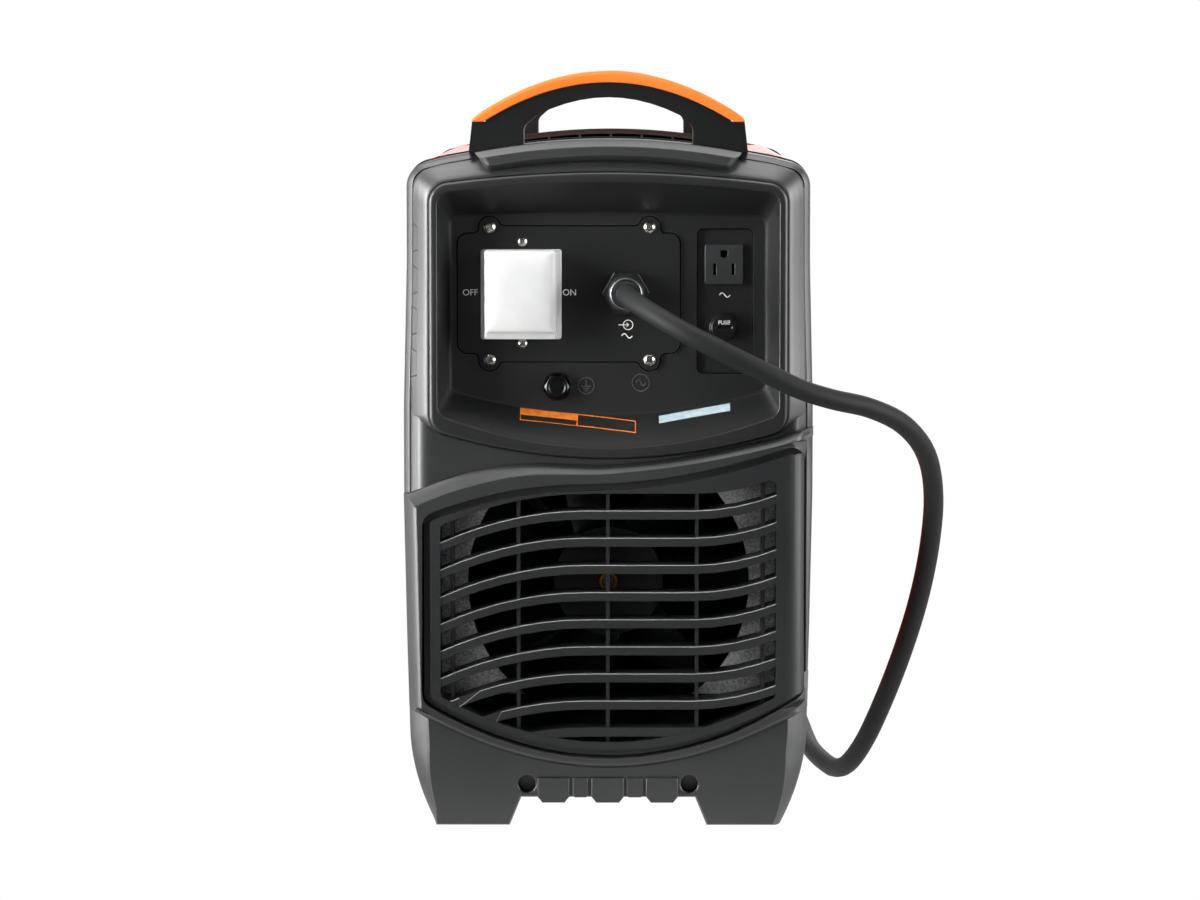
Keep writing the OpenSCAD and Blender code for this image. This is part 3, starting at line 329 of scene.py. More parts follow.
smooth_skin = bpy.data.node_groups.new("smooth_skin", "GeometryNodeTree")
smooth_skin.interface.new_socket("Geometry", in_out="INPUT", socket_type="NodeSocketGeometry")
smooth_skin.interface.new_socket("Geometry", in_out="OUTPUT", socket_type="NodeSocketGeometry")
came = smooth_skin.nodes.new("NodeGroupInput")
went = smooth_skin.nodes.new("NodeGroupOutput")
bare = smooth_skin.nodes.new("GeometryNodeRemoveAttribute")
bare.inputs["Name"].default_value = "custom_normal"
all_soft = smooth_skin.nodes.new("GeometryNodeSetShadeSmooth")
bend = smooth_skin.nodes.new("GeometryNodeInputMeshEdgeAngle")
sharp = smooth_skin.nodes.new("FunctionNodeCompare")
sharp.data_type, sharp.operation = "FLOAT", "GREATER_THAN"
sharp.inputs[1].default_value = math.radians(40)
crease = smooth_skin.nodes.new("GeometryNodeSetShadeSmooth")
crease.domain = "EDGE"
crease.inputs["Shade Smooth"].default_value = False
for a, b in ((came.outputs[0], bare.inputs["Geometry"]), (bare.outputs[0], all_soft.inputs["Geometry"]),
             (all_soft.outputs[0], crease.inputs["Geometry"]), (bend.outputs["Unsigned Angle"], sharp.inputs[0]),
             (sharp.outputs[0], crease.inputs["Selection"]), (crease.outputs[0], went.inputs[0])):
    smooth_skin.links.new(a, b)


def moulded(name, dark, light, rough=0.5, grain=1100, shine=0.5, specks=0.25, round_edge=0):
    """Injection-moulded plastic: a spark-eroded grain, slow changes of tone, dust specks, worn edges."""
    material, shader, place = new_skin(name, Specular_IOR_Level=shine)
    fine, flow = noise(place, grain, 2.0, 0.6), noise(place, 7.0, 4.0, 0.55)
    dust = (noise(place, 300.0, 1.5) > 0.71) * specks
    tint(flow * 0.65 + fine * 0.35 + dust, 0.3, dark, 0.75, light).feeds(shader, "Base Color")
    (rough - 0.12 + fine * 0.12 + flow * 0.14).feeds(shader, "Roughness")
    worn = {"Normal": place.node("Bevel", {"samples": 6}, {"Radius": round_edge * mm})} if round_edge else {}
    relief(fine, 0.4, 0.06, **worn).feeds(shader, "Normal")
    return material


def metal(name, dark, light, rough=0.28, streak=(40, 40, 900), cell=0, **fixed):
    """Bare or plated metal: drawn streaks or zinc spangle in its tone, and uneven polish."""
    material, shader, place = new_skin(name, **{"Metallic": 1.0, **fixed})
    drawn = place.node("Mapping", {}, {"Vector": place, "Scale": streak})
    tone = noise(drawn, 1.0, 3.0) * 0.5 + noise(place, 55.0, 4.0) * 0.5
    if cell:
        flake = place.node("TexVoronoi", {"feature": "F1"}, {"Vector": place, "Scale": cell}, "Color")
        tone = tone * 0.4 + place.node("SeparateColor", {}, {0: flake}) * 0.6
    tint(tone, 0.25, dark, 0.75, light).feeds(shader, "Base Color")
    (rough - 0.08 + tone * 0.18).feeds(shader, "Roughness")
    relief(tone, 0.3, 0.04).feeds(shader, "Normal")
    return material


dress("cord_plug", moulded("plug_nylon", "a3120c", "c4231a", rough=0.4), edge=0.8, steps=3)
dress("plug_pins", metal("plug_brass", "b08d3a", "dcc070", rough=0.22), edge=0.6, steps=3)


# ---- End mouldings
# Each end is one deep moulding of dark grained nylon: a set-back flange, a sloping frame
# round the panel, a fuller field below a wavy step, splayed legs and a pad on the crest.

rear_y = -280
deep = 68
half_width, crest_height, crest_curve = 141, 473.3, 480
arch_half, arch_height, foot_in = 60, 19.5, 68
screw_spot, screw_well = (56, 29.1), 5.8
corner_x, corner_z, corner_r, corner_steps = 121.6, 441, 17, 6
shoulder, pad_half, pad_steps = (112.8, 460.8), 91.5, 10
pocket_lows, pocket_tall, pocket_lip = (311, 340, 368, 397), 18, 1.3
groove_from, groove_rise = 438, 14
roll_from, roll_round = 119.5, 15.5
web_from, web_deep, rib_pitch = 455.5, 37, 24.6


class Mould:
    """A skin built from rings of points, drawn in millimetres on the rear face: x, z and depth."""

    def __init__(self):
        self.points, self.faces = [], []

    def ring(self, loop, depth):
        start = len(self.points)
        depths = depth if isinstance(depth, (list, tuple)) else [depth] * len(loop)
        self.points += [(x, rear_y + d, z) for (x, z), d in zip(loop, depths)]
        return list(range(start, len(self.points)))

    def band(self, a, b, closed=True):
        for i in range(len(a) - (not closed)):
            j = (i + 1) % len(a)
            self.faces.append((a[i], a[j], b[j], b[i]))

    def loft(self, rows, closed=True):
        """Joins rows of (loop, depth) by bands and gives back the first and last ring."""
        rings = [self.ring(loop, depth) for loop, depth in rows]
        for a, b in zip(rings, rings[1:]):
            self.band(a, b, closed)
        return rings[0], rings[-1]

    def fill(self, outer, *holes):
        """Closes a flat ring, leaving the holes open."""
        loops = [outer, *holes]
        flat = [[Vector((self.points[k][0], self.points[k][2], 0)) for k in loop] for loop in loops]
        every = [k for loop in loops for k in loop]
        self.faces += [tuple(every[k] for k in face) for face in tessellate_polygon(flat)]

    def block(self, low, high, soft=0.6):
        """A box with its edges broken, between two corners given as x, depth, z."""
        (x0, d0, z0), (x1, d1, z1) = low, high
        loops = [[(x0 + s, z0 + s), (x1 - s, z0 + s), (x1 - s, z1 - s), (x0 + s, z1 - s)] for s in (soft, 0, 0)]
        first, last = self.loft([(loops[0], d0), (loops[1], d0 + soft), (loops[2], d1)])
        self.faces += [tuple(first), tuple(last)]

    def piece(self, name, material, turned=False, sharp=40):
        sign = -1 if turned else 1
        mesh = bpy.data.meshes.new(name)
        mesh.from_pydata([(sign * x * mm, sign * y * mm, z * mm) for x, y, z in self.points], [], self.faces)
        mesh.validate()
        shell = bmesh.new()
        shell.from_mesh(mesh)
        bmesh.ops.remove_doubles(shell, verts=shell.verts, dist=0.004 * mm)
        bmesh.ops.recalc_face_normals(shell, faces=shell.faces)
        shell.to_mesh(mesh)
        shell.free()
        mesh.shade_smooth()
        mesh.set_sharp_from_angle(angle=math.radians(sharp))
        mesh.materials.append(material)
        made = bpy.data.objects.new(name, mesh)
        bpy.context.scene.collection.objects.link(made)
        even = made.modifiers.new("even", "WEIGHTED_NORMAL")
        even.keep_sharp, even.weight = True, 60
        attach(made, "root")
        return made


def inset(loop, kinds, amounts):
    """Moves each side of a closed loop inwards by the amount for its kind and finds the new corners."""
    moved, count = [], len(loop)
    for i in range(count):
        sides = []
        for k in (i - 1, i):  # the side that ends at this corner, and the side that starts there
            (x0, z0), (x1, z1) = loop[k % count], loop[(k + 1) % count]
            size = math.hypot(x1 - x0, z1 - z0) or 1
            sides.append((-(z1 - z0) / size, (x1 - x0) / size, amounts[kinds[k % count]]))
        (ax, az, a), (bx, bz, b) = sides
        cross = ax * bz - az * bx
        if abs(cross) > 0.12:
            dx, dz = (a * bz - b * az) / cross, (b * ax - a * bx) / cross
        else:
            size = math.hypot(ax + bx, az + bz) or 1
            dx, dz = (ax + bx) / size * (a + b) / 2, (az + bz) / size * (a + b) / 2
        moved.append((loop[i][0] + dx, loop[i][1] + dz))
    return moved


def shrink(loop, by):
    """Moves every side of a loop inwards by one amount."""
    return inset(loop, ["side"] * len(loop), {"side": by})


def crest(x):
    """The arched top of an end moulding."""
    return crest_height - x * x / (2 * crest_curve)


def wave(x):
    """The wavy step between the panel and the lower field: it falls to the left and rises to the right."""
    if x < -45:
        return 252 - 23 * ((-x - 45) / 95) ** 2
    return 250.5 - 1.5 * (x + 10) / 35 if x < -10 else 250.5 + 25.5 * ((x + 10) / 150) ** 1.7


def leg_line(x):
    """The curved lower edge of the field above the legs."""
    return 40 + x * x / 452


def side_x(z):
    """Half the width of an end moulding at a height below its corner."""
    stops = [(70, 137.3), (133, 139), (230, 141), (290, 141), (390, 138.6), (441, 138.6)]
    if z <= 70:
        return 119 + 18.3 * (1 - (1 - z / 70) ** 2)
    for (z0, x0), (z1, x1) in zip(stops, stops[1:]):
        if z <= z1:
            return x0 + (x1 - x0) * (z - z0) / (z1 - z0)
    return stops[-1][1]


def spread(a, b, count):
    """Even steps from one value to another."""
    return [a + (b - a) * k / count for k in range(count + 1)]


corner_arc = [math.radians(a) for a in range(0, 79, corner_steps)]
corner_arc = [(corner_x + corner_r * math.cos(a), corner_z + corner_r * math.sin(a)) for a in corner_arc]
pocket_ends = [end for low in pocket_lows for end in (low, low + pocket_tall)]
side_heights = spread(0, 70, 14) + spread(78, 300, 28) + spread(420, groove_from, 3)
side_heights = sorted(set(side_heights + [end + lean for end in pocket_ends for lean in (-0.3, 0.3)]))
right_edge = [(side_x(z), z) for z in side_heights] + corner_arc + [shoulder]
right_edge += [(x, crest(x)) for x in (pad_half * (1 - k / pad_steps) for k in range(pad_steps + 1))]
outline = right_edge + [(-x, z) for x, z in reversed(right_edge[:-1])]
outline += [(-foot_in, 0), (-arch_half, arch_height), (arch_half, arch_height), (foot_in, 0)]


def round_corners(loop, radius, least=25, most=180, steps=6):
    """Rounds every corner of a loop that turns by an amount between two limits in degrees."""
    rounded = []
    for i, here in enumerate(loop):
        back, ahead = Vector(loop[i - 1]) - Vector(here), Vector(loop[(i + 1) % len(loop)]) - Vector(here)
        turn = math.pi - back.angle(ahead)
        if not math.radians(least) <= turn <= math.radians(most):
            rounded.append(tuple(here))
            continue
        cut = min(radius * math.tan(turn / 2), back.length * 0.95, ahead.length * 0.95)
        a, b = Vector(here) + back.normalized() * cut, Vector(here) + ahead.normalized() * cut
        bisector = (back.normalized() + ahead.normalized()).normalized()
        middle = Vector(here) + bisector * math.hypot(cut, cut / math.tan(turn / 2))
        start = math.atan2(a.y - middle.y, a.x - middle.x)
        sweep_by = (math.atan2(b.y - middle.y, b.x - middle.x) - start + math.pi) % (2 * math.pi) - math.pi
        reach = (a - middle).length
        rounded += [(middle.x + reach * math.cos(start + sweep_by * k / steps),
                     middle.y + reach * math.sin(start + sweep_by * k / steps)) for k in range(steps + 1)]
    return rounded


def stripe(x):
    """The upper edge of the insert, below the wavy step."""
    return 237.3 - 22 * ((-x - 15) / 112) ** 2 if x < -15 else 237.3 + 31 * ((x + 15) / 155) ** 1.9


insert_loop = round_corners([(x, 49 + x * x / 422) for x in spread(-127, 135, 16)]
                            + [(x, stripe(x)) for x in spread(135, -127, 16)], 9)


def roll(x):
    """How far the right side of the lower field has rolled back at a place across the unit."""
    past = (x - roll_from) / roll_round
    if past < 0:
        return 0
    return 9 * (1 - math.sqrt(1 - past ** 2)) if past < 1 else 9 + (past - 1) * roll_round * 0.8


def arched_window(half, top, top_r, low, low_r, corner):
    """A window with arched upper and lower edges and rounded corners, as a loop."""
    def quarter(level, radius, up):
        reach = half - corner
        tilt = math.atan(reach / radius)
        touch = reach + corner * math.sin(tilt)
        middle = level - up * (touch * touch / (2 * radius) + corner * math.cos(tilt))
        arc = [(touch * k / 10, level - up * (touch * k / 10) ** 2 / (2 * radius)) for k in range(10)]
        turn = [up * (math.pi / 2 - tilt) * (1 - k / 8) for k in range(9)]
        return arc + [(reach + corner * math.cos(a), middle + corner * math.sin(a)) for a in turn]
    lower, upper = quarter(low, low_r, -1), quarter(top, top_r, 1)
    sides = [(half, lower[-1][1] + (upper[-1][1] - lower[-1][1]) * k / 8) for k in range(1, 8)]
    right = lower + sides + upper[::-1]
    return right + [(-x, z) for x, z in right[-2:0:-1]]


# half its width, its top with the arch's radius, its foot with the arch's radius, and its corners
ring_size = (123, crest_height - 22, 830, 255, 390, 14)


def smaller(window, by):
    """The same window with every side moved inwards."""
    half, top, top_r, low, low_r, corner = window
    return arched_window(half - by, top - by, top_r, low + by, low_r, max(1, corner - by))


def circle(x, z, r, count=28):
    turns = [2 * math.pi * k / count for k in range(count)]
    return [(x + r * math.cos(a), z + r * math.sin(a)) for a in turns]


def facing(loop, k):
    """The outward direction at a point of a loop that runs anticlockwise."""
    (x0, z0), (x1, z1) = loop[k - 1], loop[(k + 1) % len(loop)]
    size = math.hypot(x1 - x0, z1 - z0)
    return (z1 - z0) / size, (x0 - x1) / size


def meet(loop, here, dx, dz):
    """The place where a ray from a point first crosses a loop."""
    nearest = 1e9
    for (x0, z0), (x1, z1) in zip(loop, loop[1:] + loop[:1]):
        cross = dx * (z1 - z0) - dz * (x1 - x0)
        if abs(cross) > 1e-9:
            along = ((x0 - here[0]) * (z1 - z0) - (z0 - here[1]) * (x1 - x0)) / cross
            part = ((x0 - here[0]) * dz - (z0 - here[1]) * dx) / cross
            if along > 0 and -1e-6 <= part <= 1 + 1e-6:
                nearest = min(nearest, along)
    return here[0] + dx * nearest, here[1] + dz * nearest


def flange(shell):
    """The side walls, the flange with a groove under the crest, and the rim that meets the cover."""
    skirt = [(0, deep, 0), (0, 30, 0), (0, 22, 0), (0.3, 20.8, 0), (0.9, 19.9, 0), (1.6, 19.1, 0), (3.6, 17.2, 0),
             (4, 17, 0), (4.3, 17.1, 0.1), (6.2, 17.2, 2), (17.5, 17.2, 2)]
    high = [min(1, max(0, (z - groove_from) / groove_rise)) for x, z in outline]
    shell.loft([(shrink(outline, a), [d + groove * h for h in high]) for a, d, groove in skirt])
    shell.loft([(shrink(outline, a), d) for a, d in ((0, deep), (0.3, deep + 0.1), (3, deep), (3, 19))])


def surround(shell):
    """The sloping frame of the panel, with four shallow pockets in its left band."""
    inner = smaller(ring_size, -0.4)
    heights = [end + lean for end in pocket_ends for lean in (-0.4, 0.4)]
    corners = {z: k % 4 for k, z in enumerate(heights)}
    inner = [p for p in inner if not (abs(p[0]) > 123.3 and 300 < p[1] < 420)]
    right = next(k for k, p in enumerate(inner) if p[0] > 123 and p[1] > 420)
    inner[right:right] = [(123.4, z) for z in heights]
    left = next(k for k, p in enumerate(inner) if p[0] < -123 and p[1] < 300)
    inner[left:left] = [(-123.4, z) for z in reversed(heights)]
    rim = [p for p in outline if p[1] > 298]
    rim += [(x, 252.5 + x * x / 780) for x in [-141] + spread(-120, 120, 30) + [141]]
    rim = round_corners(rim, 15, least=40, most=120)
    outer = [meet(rim, here, *facing(inner, k)) for k, here in enumerate(inner)]
    rows = []
    for t, d in ((0.25, 17), (0.265, 15.7), (0.3, 14.9), (0.33, 14.3), (0.34, 14.15), (0.52, 11.2), (0.53, 11.05),
                 (0.75, 7.7), (0.88, 6), (0.93, 5.55), (0.97, 5.3), (1, 5.2)):
        loop, levels = [], []
        for (a, b), (c, e) in zip(outer, inner):
            corner = corners.get(e) if c < -123 else None
            lean = 0 if corner is None else (min(t, 0.53) - 0.39) * (5.5 if corner < 2 else -11.8)
            loop.append((a + (c - a) * t, b + (e - b) * t + lean))
            levels.append(d + pocket_lip * (corner in (1, 2) and 0.26 < t < 0.53) + 2 * (t < 0.26 and b > 445))
        rows.append((loop, levels))
    shell.loft(rows + [(inner, 7.5)])


def apron(shell):
    """The field between the surround and the wavy step, set back from both."""
    rows = [(4.7, 17), (4.95, 15.8), (5.4, 15.1), (7.6, 13.2), (9.6, 11.5), (10.6, 10.7), (12, 10), (14, 9.4),
            (16.2, 9.1), (18.4, 9)]
    columns = [(x, 9) for x in spread(-121.4, 121.4, 36)]
    columns = [(a - half_width, d) for a, d in rows] + columns + [(half_width - a, d) for a, d in reversed(rows)]
    low, high = [], []
    for x, d in columns:
        for row, z in ((low, wave(x) - 7), (high, 257 + x * x / 780 if abs(x) < 122 else 300)):
            row.append(len(shell.points))
            shell.points.append((x * side_x(z) / half_width, rear_y + d, z))
    shell.band(low, high, closed=False)


def lower_field(shell):
    """The fuller field round three sides of the insert. Its right side rolls back to the flange."""
    ends = [119.5, 122, 124.5, 127, 129, 131, 132.8, 134]
    split = next(k for k, p in enumerate(insert_loop) if p[0] > 134 and p[1] > 200)
    lip = [(135, 107)] + insert_loop[:split][::-1] + insert_loop[split:][::-1]
    low = [(x, leg_line(x)) for x in spread(-134, 112, 24) + ends]
    right = [(side_x(z), z) for z in (83, 90, 97, 103, 107)]
    step = [(136.9, stripe(136)), (136.9, wave(137) - 6.2), (141, wave(141) - 6.2)]
    top = [(x, wave(x)) for x in [141, 138.6, 136.9] + ends[::-1] + spread(112, -136, 31)]
    left = [(-side_x(z), z) for z in spread(230, 83, 20)]
    field = low + right + lip + step + top + left
    kinds = ["low"] * len(low) + ["right"] * (len(right) - 1) + ["cap"] + ["lip"] * (len(lip) - 1) + ["cap"]
    kinds += ["cap"] * 3 + [f"wave_{k}" for k in range(len(top))] + ["left"] * (len(left) - 1) + ["low"]
    kinds = ["groove" if kind == "lip" and max(field[k][1], field[k - 1][1]) < 195 and x < 110 else kind
             for k, (kind, (x, z)) in enumerate(zip(kinds, field))]
    depths = [17.3, 12.6, 9.4, 7, 5.2, 3.8, 2.6, 1.6, 0.8, 0.3, 0.05, 0]
    ins = {"left": [0, 0.1, 0.5, 2.2, 3.6, 4.8, 5.9, 6.9, 7.9, 8.7, 9.3, 9.8],
           "right": [0, 0.05, 0.15, 0.3, 0.5, 0.7, 0.9, 1.1, 1.3, 1.5, 1.7, 1.8],
           "wave_left": [0, 0, 0.1, 0.6, 2.4, 4.2, 5.9, 7.3, 8.4, 9.1, 9.5, 9.8],
           "wave_right": [0, 0, 0, 0.3, 1.3, 2.3, 3.3, 4.1, 4.8, 5.2, 5.5, 5.7],
           "lip": [0.1, 0.1, 0.1, 0.1, 0.1, 0.1, 0.1, 0.1, 0.12, 0.25, 0.45, 0.8],
           "groove": [-0.3, -0.3, -0.3, 1.3, 1.3, 1.3, 1.3, 1.3, 1.32, 1.45, 1.65, 2],
           "cap": [0] * 12,
           "low": [0, 0, 0, 0.1, 0.4, 0.8, 1.3, 1.9, 2.6, 3.2, 3.8, 4.5]}
    for k, (x, z) in enumerate(top):
        mix = min(1, max(0, (x + 90) / 110))
        ins[f"wave_{k}"] = [(1 - mix) * a + mix * b for a, b in zip(ins["wave_left"], ins["wave_right"])]
    loops = [inset(field, kinds, {kind: steps[k] for kind, steps in ins.items()}) for k in range(len(depths))]
    outer, inner = shell.loft([(loop, [max(d, roll(x)) for x, z in loop]) for loop, d in zip(loops, depths)])
    shell.fill(inner)
    shell.block((135.3, 10.3, 104), (136.9, 17, 268), soft=0.4)


def legs_and_wells(shell):
    """The legs under the field, set back, with the screw wells at the foot of the arch."""
    legs = [(side_x(z), z) for z in spread(0, 84, 16)]
    legs += [(x, leg_line(x) + 2) for x in spread(132, -132, 22)]
    legs += [(-side_x(z), z) for z in spread(84, 0, 16)]
    legs += [(-foot_in, 0), (-arch_half, arch_height), (arch_half, arch_height), (foot_in, 0)]
    kinds = [f"side_{k}" for k in range(16)] + ["top"] * 24 + [f"side_{k}" for k in range(14, -1, -1)]
    kinds += ["base"] * (len(legs) - len(kinds))
    depths = [17.3, 16.2, 14.9, 13.2, 11.4, 9.7, 8.2, 6.9, 5.9, 4.9, 4.5]
    ins = {"top": [0] * 11,
           "base": [0, 0, 0, 0, 0, 0.05, 0.2, 0.4, 0.8, 1.2, 1.6]}
    chamfer = (0, 0.3, 1.1, 2.8, 4.8, 6.8, 8.7, 10.5, 12, 13, 13.5)
    for k in range(16):
        ins[f"side_{k}"] = [a * (0.4 + 0.6 * min(1, k / 9)) for a in chamfer]
    outer, inner = shell.loft([(inset(legs, kinds, {kind: steps[k] for kind, steps in ins.items()}), d)
                               for k, d in enumerate(depths)])
    wells = []
    for side in (-1, 1):
        rows = [(circle(side * screw_spot[0], screw_spot[1], screw_well + r), d)
                for r, d in ((1.6, 4.5), (0.9, 4.7), (0.3, 5.3), (0, 6.4), (0, 22))]
        first, last = shell.loft(rows)
        shell.faces.append(tuple(last))
        wells.append(first)
    shell.fill(inner, *wells)
    blocks = ((-48.9, -26.6, 16.5), (-24.7, -13.6, 20), (-11.7, 11.1, 16.5), (12.6, 24.2, 20), (26, 48.4, 16.5))
    for x0, x1, z0 in blocks:
        cut, back = (2, 1) if z0 == 20 else (4.4, 0)
        loops = [[(x1 - s, 34 - s), (x0 + s, 34 - s), (x0 + s, z0 + cut), (x0 + cut * 0.8, z0 + s),
                  (x1 - cut * 0.8, z0 + s), (x1 - s, z0 + cut)] for s in (0.7, 0.2, 0, 0)]
        first, last = shell.loft(list(zip(loops, (1.8 + back, 2.1 + back, 2.8 + back, 30))))
        shell.faces += [tuple(first), tuple(last)]
    for side in (-1, 1):
        shell.loft([(circle(side * screw_spot[0], screw_spot[1], 8), d) for d in (8, 34)])


def crest_pad(shell):
    """The raised pad on the crest, with a broad chamfer along its top."""
    pad = [(82 * k / 8, crest_height - 14.3 - 7.5 * (k / 8) ** 2) for k in range(-8, 9)]
    pad += [(pad_half * k / 8, crest(pad_half * k / 8)) for k in range(8, -9, -1)]
    pad = round_corners(pad, 6.5, least=30, most=90)
    kinds = ["top" if (p[1] + q[1]) / 2 > crest((p[0] + q[0]) / 2) - 4.5 else "low"
             for p, q in zip(pad, pad[1:] + pad[:1])]
    profile = [(16, 0, 0), (10.2, 0, 0), (9.7, 0.2, 0), (9.2, 0.7, 0), (7.4, 2.5, 0), (6.8, 3.1, 0.2), (5.9, 4, 1.1),
               (5.4, 4.5, 1.6), (5, 5, 2), (3.2, 5.2, 3.7), (2.7, 5.5, 4.2), (2.5, 5.8, 4.8)]
    rows = []
    for d, t, b in profile:
        loop = inset(pad, kinds, {"top": t, "low": b})
        rows.append((loop, [max(d, 2.5 + 2.6 * min(1, max(0, (z - crest(x) + 14) / 9))) for x, z in loop]))
    outer, inner = shell.loft(rows)
    shell.faces.append(tuple(inner))


def web_and_ribs(shell):
    """The web and the ribs that close the crest above the cover."""
    shell.faces.append(tuple(shell.ring([p for p in outline if p[1] > web_from], web_deep)))
    for k in range(-2, 3):
        shell.block((k * rib_pitch - 0.8, web_deep + 1, 461.5), (k * rib_pitch + 0.8, deep, 471), soft=0.3)


def end_moulding():
    shell = Mould()
    for part in (flange, surround, apron, lower_field, legs_and_wells, crest_pad, web_and_ribs):
        part(shell)
    return shell


end_nylon = moulded("end_nylon", "131415", "1c1d1e", rough=0.42, shine=0.95)
shadow_nylon = moulded("shadow_nylon", "050505", "0a0a0a", rough=0.7, shine=0.1)
for name, node, turned in (("rear_moulding", "rear_bezel", False), ("front_moulding", "front_bezel", True)):
    moulding = end_moulding().piece(name, end_nylon, turned=turned, sharp=28)
    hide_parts(node)
    # a near-black sheet just inside the web of each crest is painted shade over the hollow above the cover
    shade_sheet = Mould()
    shade_sheet.faces.append(tuple(shade_sheet.ring([p for p in outline if p[1] > web_from], web_deep + 3)))
    shade_sheet = shade_sheet.piece(name + "_lining", shadow_nylon, turned=turned)


# ---- Louvred insert and socket panel
# One insert closes the field of each end. At the rear it carries wavy louvres on upright
# ribs, at the front the sockets. Both are the same grained nylon as the ends.

louvre_nylon = moulded("louvre_nylon", "141516", "1d1e1f", rough=0.42, shine=0.55)
dress("rear_grille", louvre_nylon, edge=0.5)
dress("front_socket_panel", louvre_nylon, edge=0.5, steps=3)


def joined_skin(node):
    """The mesh of a solid, with its corners joined."""
    skin = bmesh.new()
    skin.from_mesh(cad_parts[node].data)
    bmesh.ops.remove_doubles(skin, verts=skin.verts, dist=0.01 * mm)
    return skin


def upper_edges(node, level):
    """The upper front edges of a solid at a depth, read from its mesh as lines of x and z in millimetres."""
    skin = joined_skin(node)
    near = {e for e in skin.edges if all(abs(v.co.y / mm - rear_y - level) < 0.05 for v in e.verts)}
    near = {e for e in near if {f.normal.y < -0.8 for f in e.link_faces} == {True, False}
            and max(f.normal.z for f in e.link_faces) > 0.6}
    lines = []
    while near:
        line = {near.pop()}
        ends = {v for e in line for v in e.verts}
        more = line
        while more:
            more = {e for e in near if any(v in ends for v in e.verts)}
            near -= more
            ends |= {v for e in more for v in e.verts}
        lines.append(sorted((v.co.x / mm, v.co.z / mm) for v in ends))
    skin.free()
    return sorted(line for line in lines if line[-1][0] - line[0][0] > short_louvre and line[-1][1] > low_louvre)


# the louvres' upper edges are rounded, and a pale strip along each is a painted highlight
louvre_level, short_louvre, low_louvre = 1.5, 20, 72
edge_profile = [(-0.6, 0), (-0.5, -0.05), (-0.2, 0), (0.02, 0.2), (0.05, 0.6)]
highlight_strips = Mould()
for line in upper_edges("rear_grille", louvre_level):
    highlight_strips.loft([([(x, z + rise) for x, z in line], louvre_level + d) for rise, d in edge_profile], closed=False)
highlight_strips = highlight_strips.piece("painted_edge_highlights", moulded("edge_highlight_nylon", "8a8b8c", "a2a3a4", rough=0.34, shine=0.7))

# a dust gauze is stretched behind the slots of the front panel, and a near-black block behind the lowest slots of the
# grille is painted shade
gauze = Mould()
gauze.block((-112, 12.6, 150), (112, 13.4, 246), soft=0.3)
felt = rubber("gauze_felt", "08090a", "141516", rough=0.8)
gauze = gauze.piece("dust_gauze", felt, turned=True)
shade_block = Mould()
shade_block.block((-112, 29, 50), (118, 34, 88), soft=0.5)
shade_block = shade_block.piece("sill_shade_block", rubber("shade_block_black", "030303", "070707", rough=0.9, Specular_IOR_Level=0.1))


# ---- Connection recess and control fascia
# A deep-drawn tub of glossier black nylon sits in the frame of each end, with a rounded
# rim. The rear one is deep and has a pocket for the outlet, the front one is shallow.

mouth_size = (117, crest_height - 29.3, 900, 262.5, 300, 9)
floor_size = (109, crest_height - 51, 3000, 283, 370, 7)
recess_deep, fascia_deep = 34, 16
pocket_x, pocket_z, pocket_deep = (61.2, 99.7), (311.5, 411.5), 3


def rounded_box(x, z, corner, grow=0.0):
    """A box between two places each way, with rounded corners."""
    (x0, x1), (z0, z1) = x, z
    loop = [(x0 - grow, z0 - grow), (x1 + grow, z0 - grow), (x1 + grow, z1 + grow), (x0 - grow, z1 + grow)]
    return round_corners(loop, max(0.4, corner + grow), steps=8)


def tub(floor_depth):
    """A tub with a rounded rim, drawn in from its mouth to its floor."""
    shell = Mould()
    rim = [(0, 9), (0, 5.2), (0.15, 4.1), (0.55, 3.2), (1.3, 2.5), (2.3, 2.1), (3.4, 2)]
    first, last = shell.loft([(smaller(ring_size, a), d) for a, d in rim])
    lip = [(-1.1, 2), (-0.5, 2.1), (-0.12, 2.45), (0, 3.1)]
    inner, throat = shell.loft([(smaller(mouth_size, a), d) for a, d in lip])
    shell.band(last, inner)
    mouth, floor = arched_window(*mouth_size), arched_window(*floor_size)
    walls = []
    for t, d in ((0.03, 4), (0.5, 0), (0.9, 0), (0.96, 0), (0.985, 0)):
        deep_here = d or 3.1 + (floor_depth - 3.1) * t
        walls.append(([(a + (c - a) * t, b + (e - b) * t) for (a, b), (c, e) in zip(mouth, floor)], deep_here))
    walls += [(smaller(floor_size, a), floor_depth - d) for a, d in ((0.3, 0.35), (0.9, 0.1), (1.8, 0))]
    top, bottom = shell.loft(walls)
    shell.band(throat, top)
    holes = []
    if floor_depth == recess_deep:
        steps = [(0.6, 0), (0.2, 0.15), (0, 0.6)]
        steps += [(-a, pocket_deep - d) for a, d in reversed(steps)]
        edge, sunk = shell.loft([(rounded_box(pocket_x, pocket_z, 4, a), floor_depth + d) for a, d in steps])
        shell.faces.append(tuple(sunk))
        holes.append(edge)
    shell.fill(bottom, *holes)
    return shell


recess_nylon = moulded("recess_nylon", "101112", "19191a", rough=0.4, grain=900, shine=0.7, specks=0.3)
recess = tub(recess_deep).piece("recess", recess_nylon)
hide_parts("rear_recess")
fascia = tub(fascia_deep).piece("fascia", recess_nylon, turned=True)
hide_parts("front_fascia")


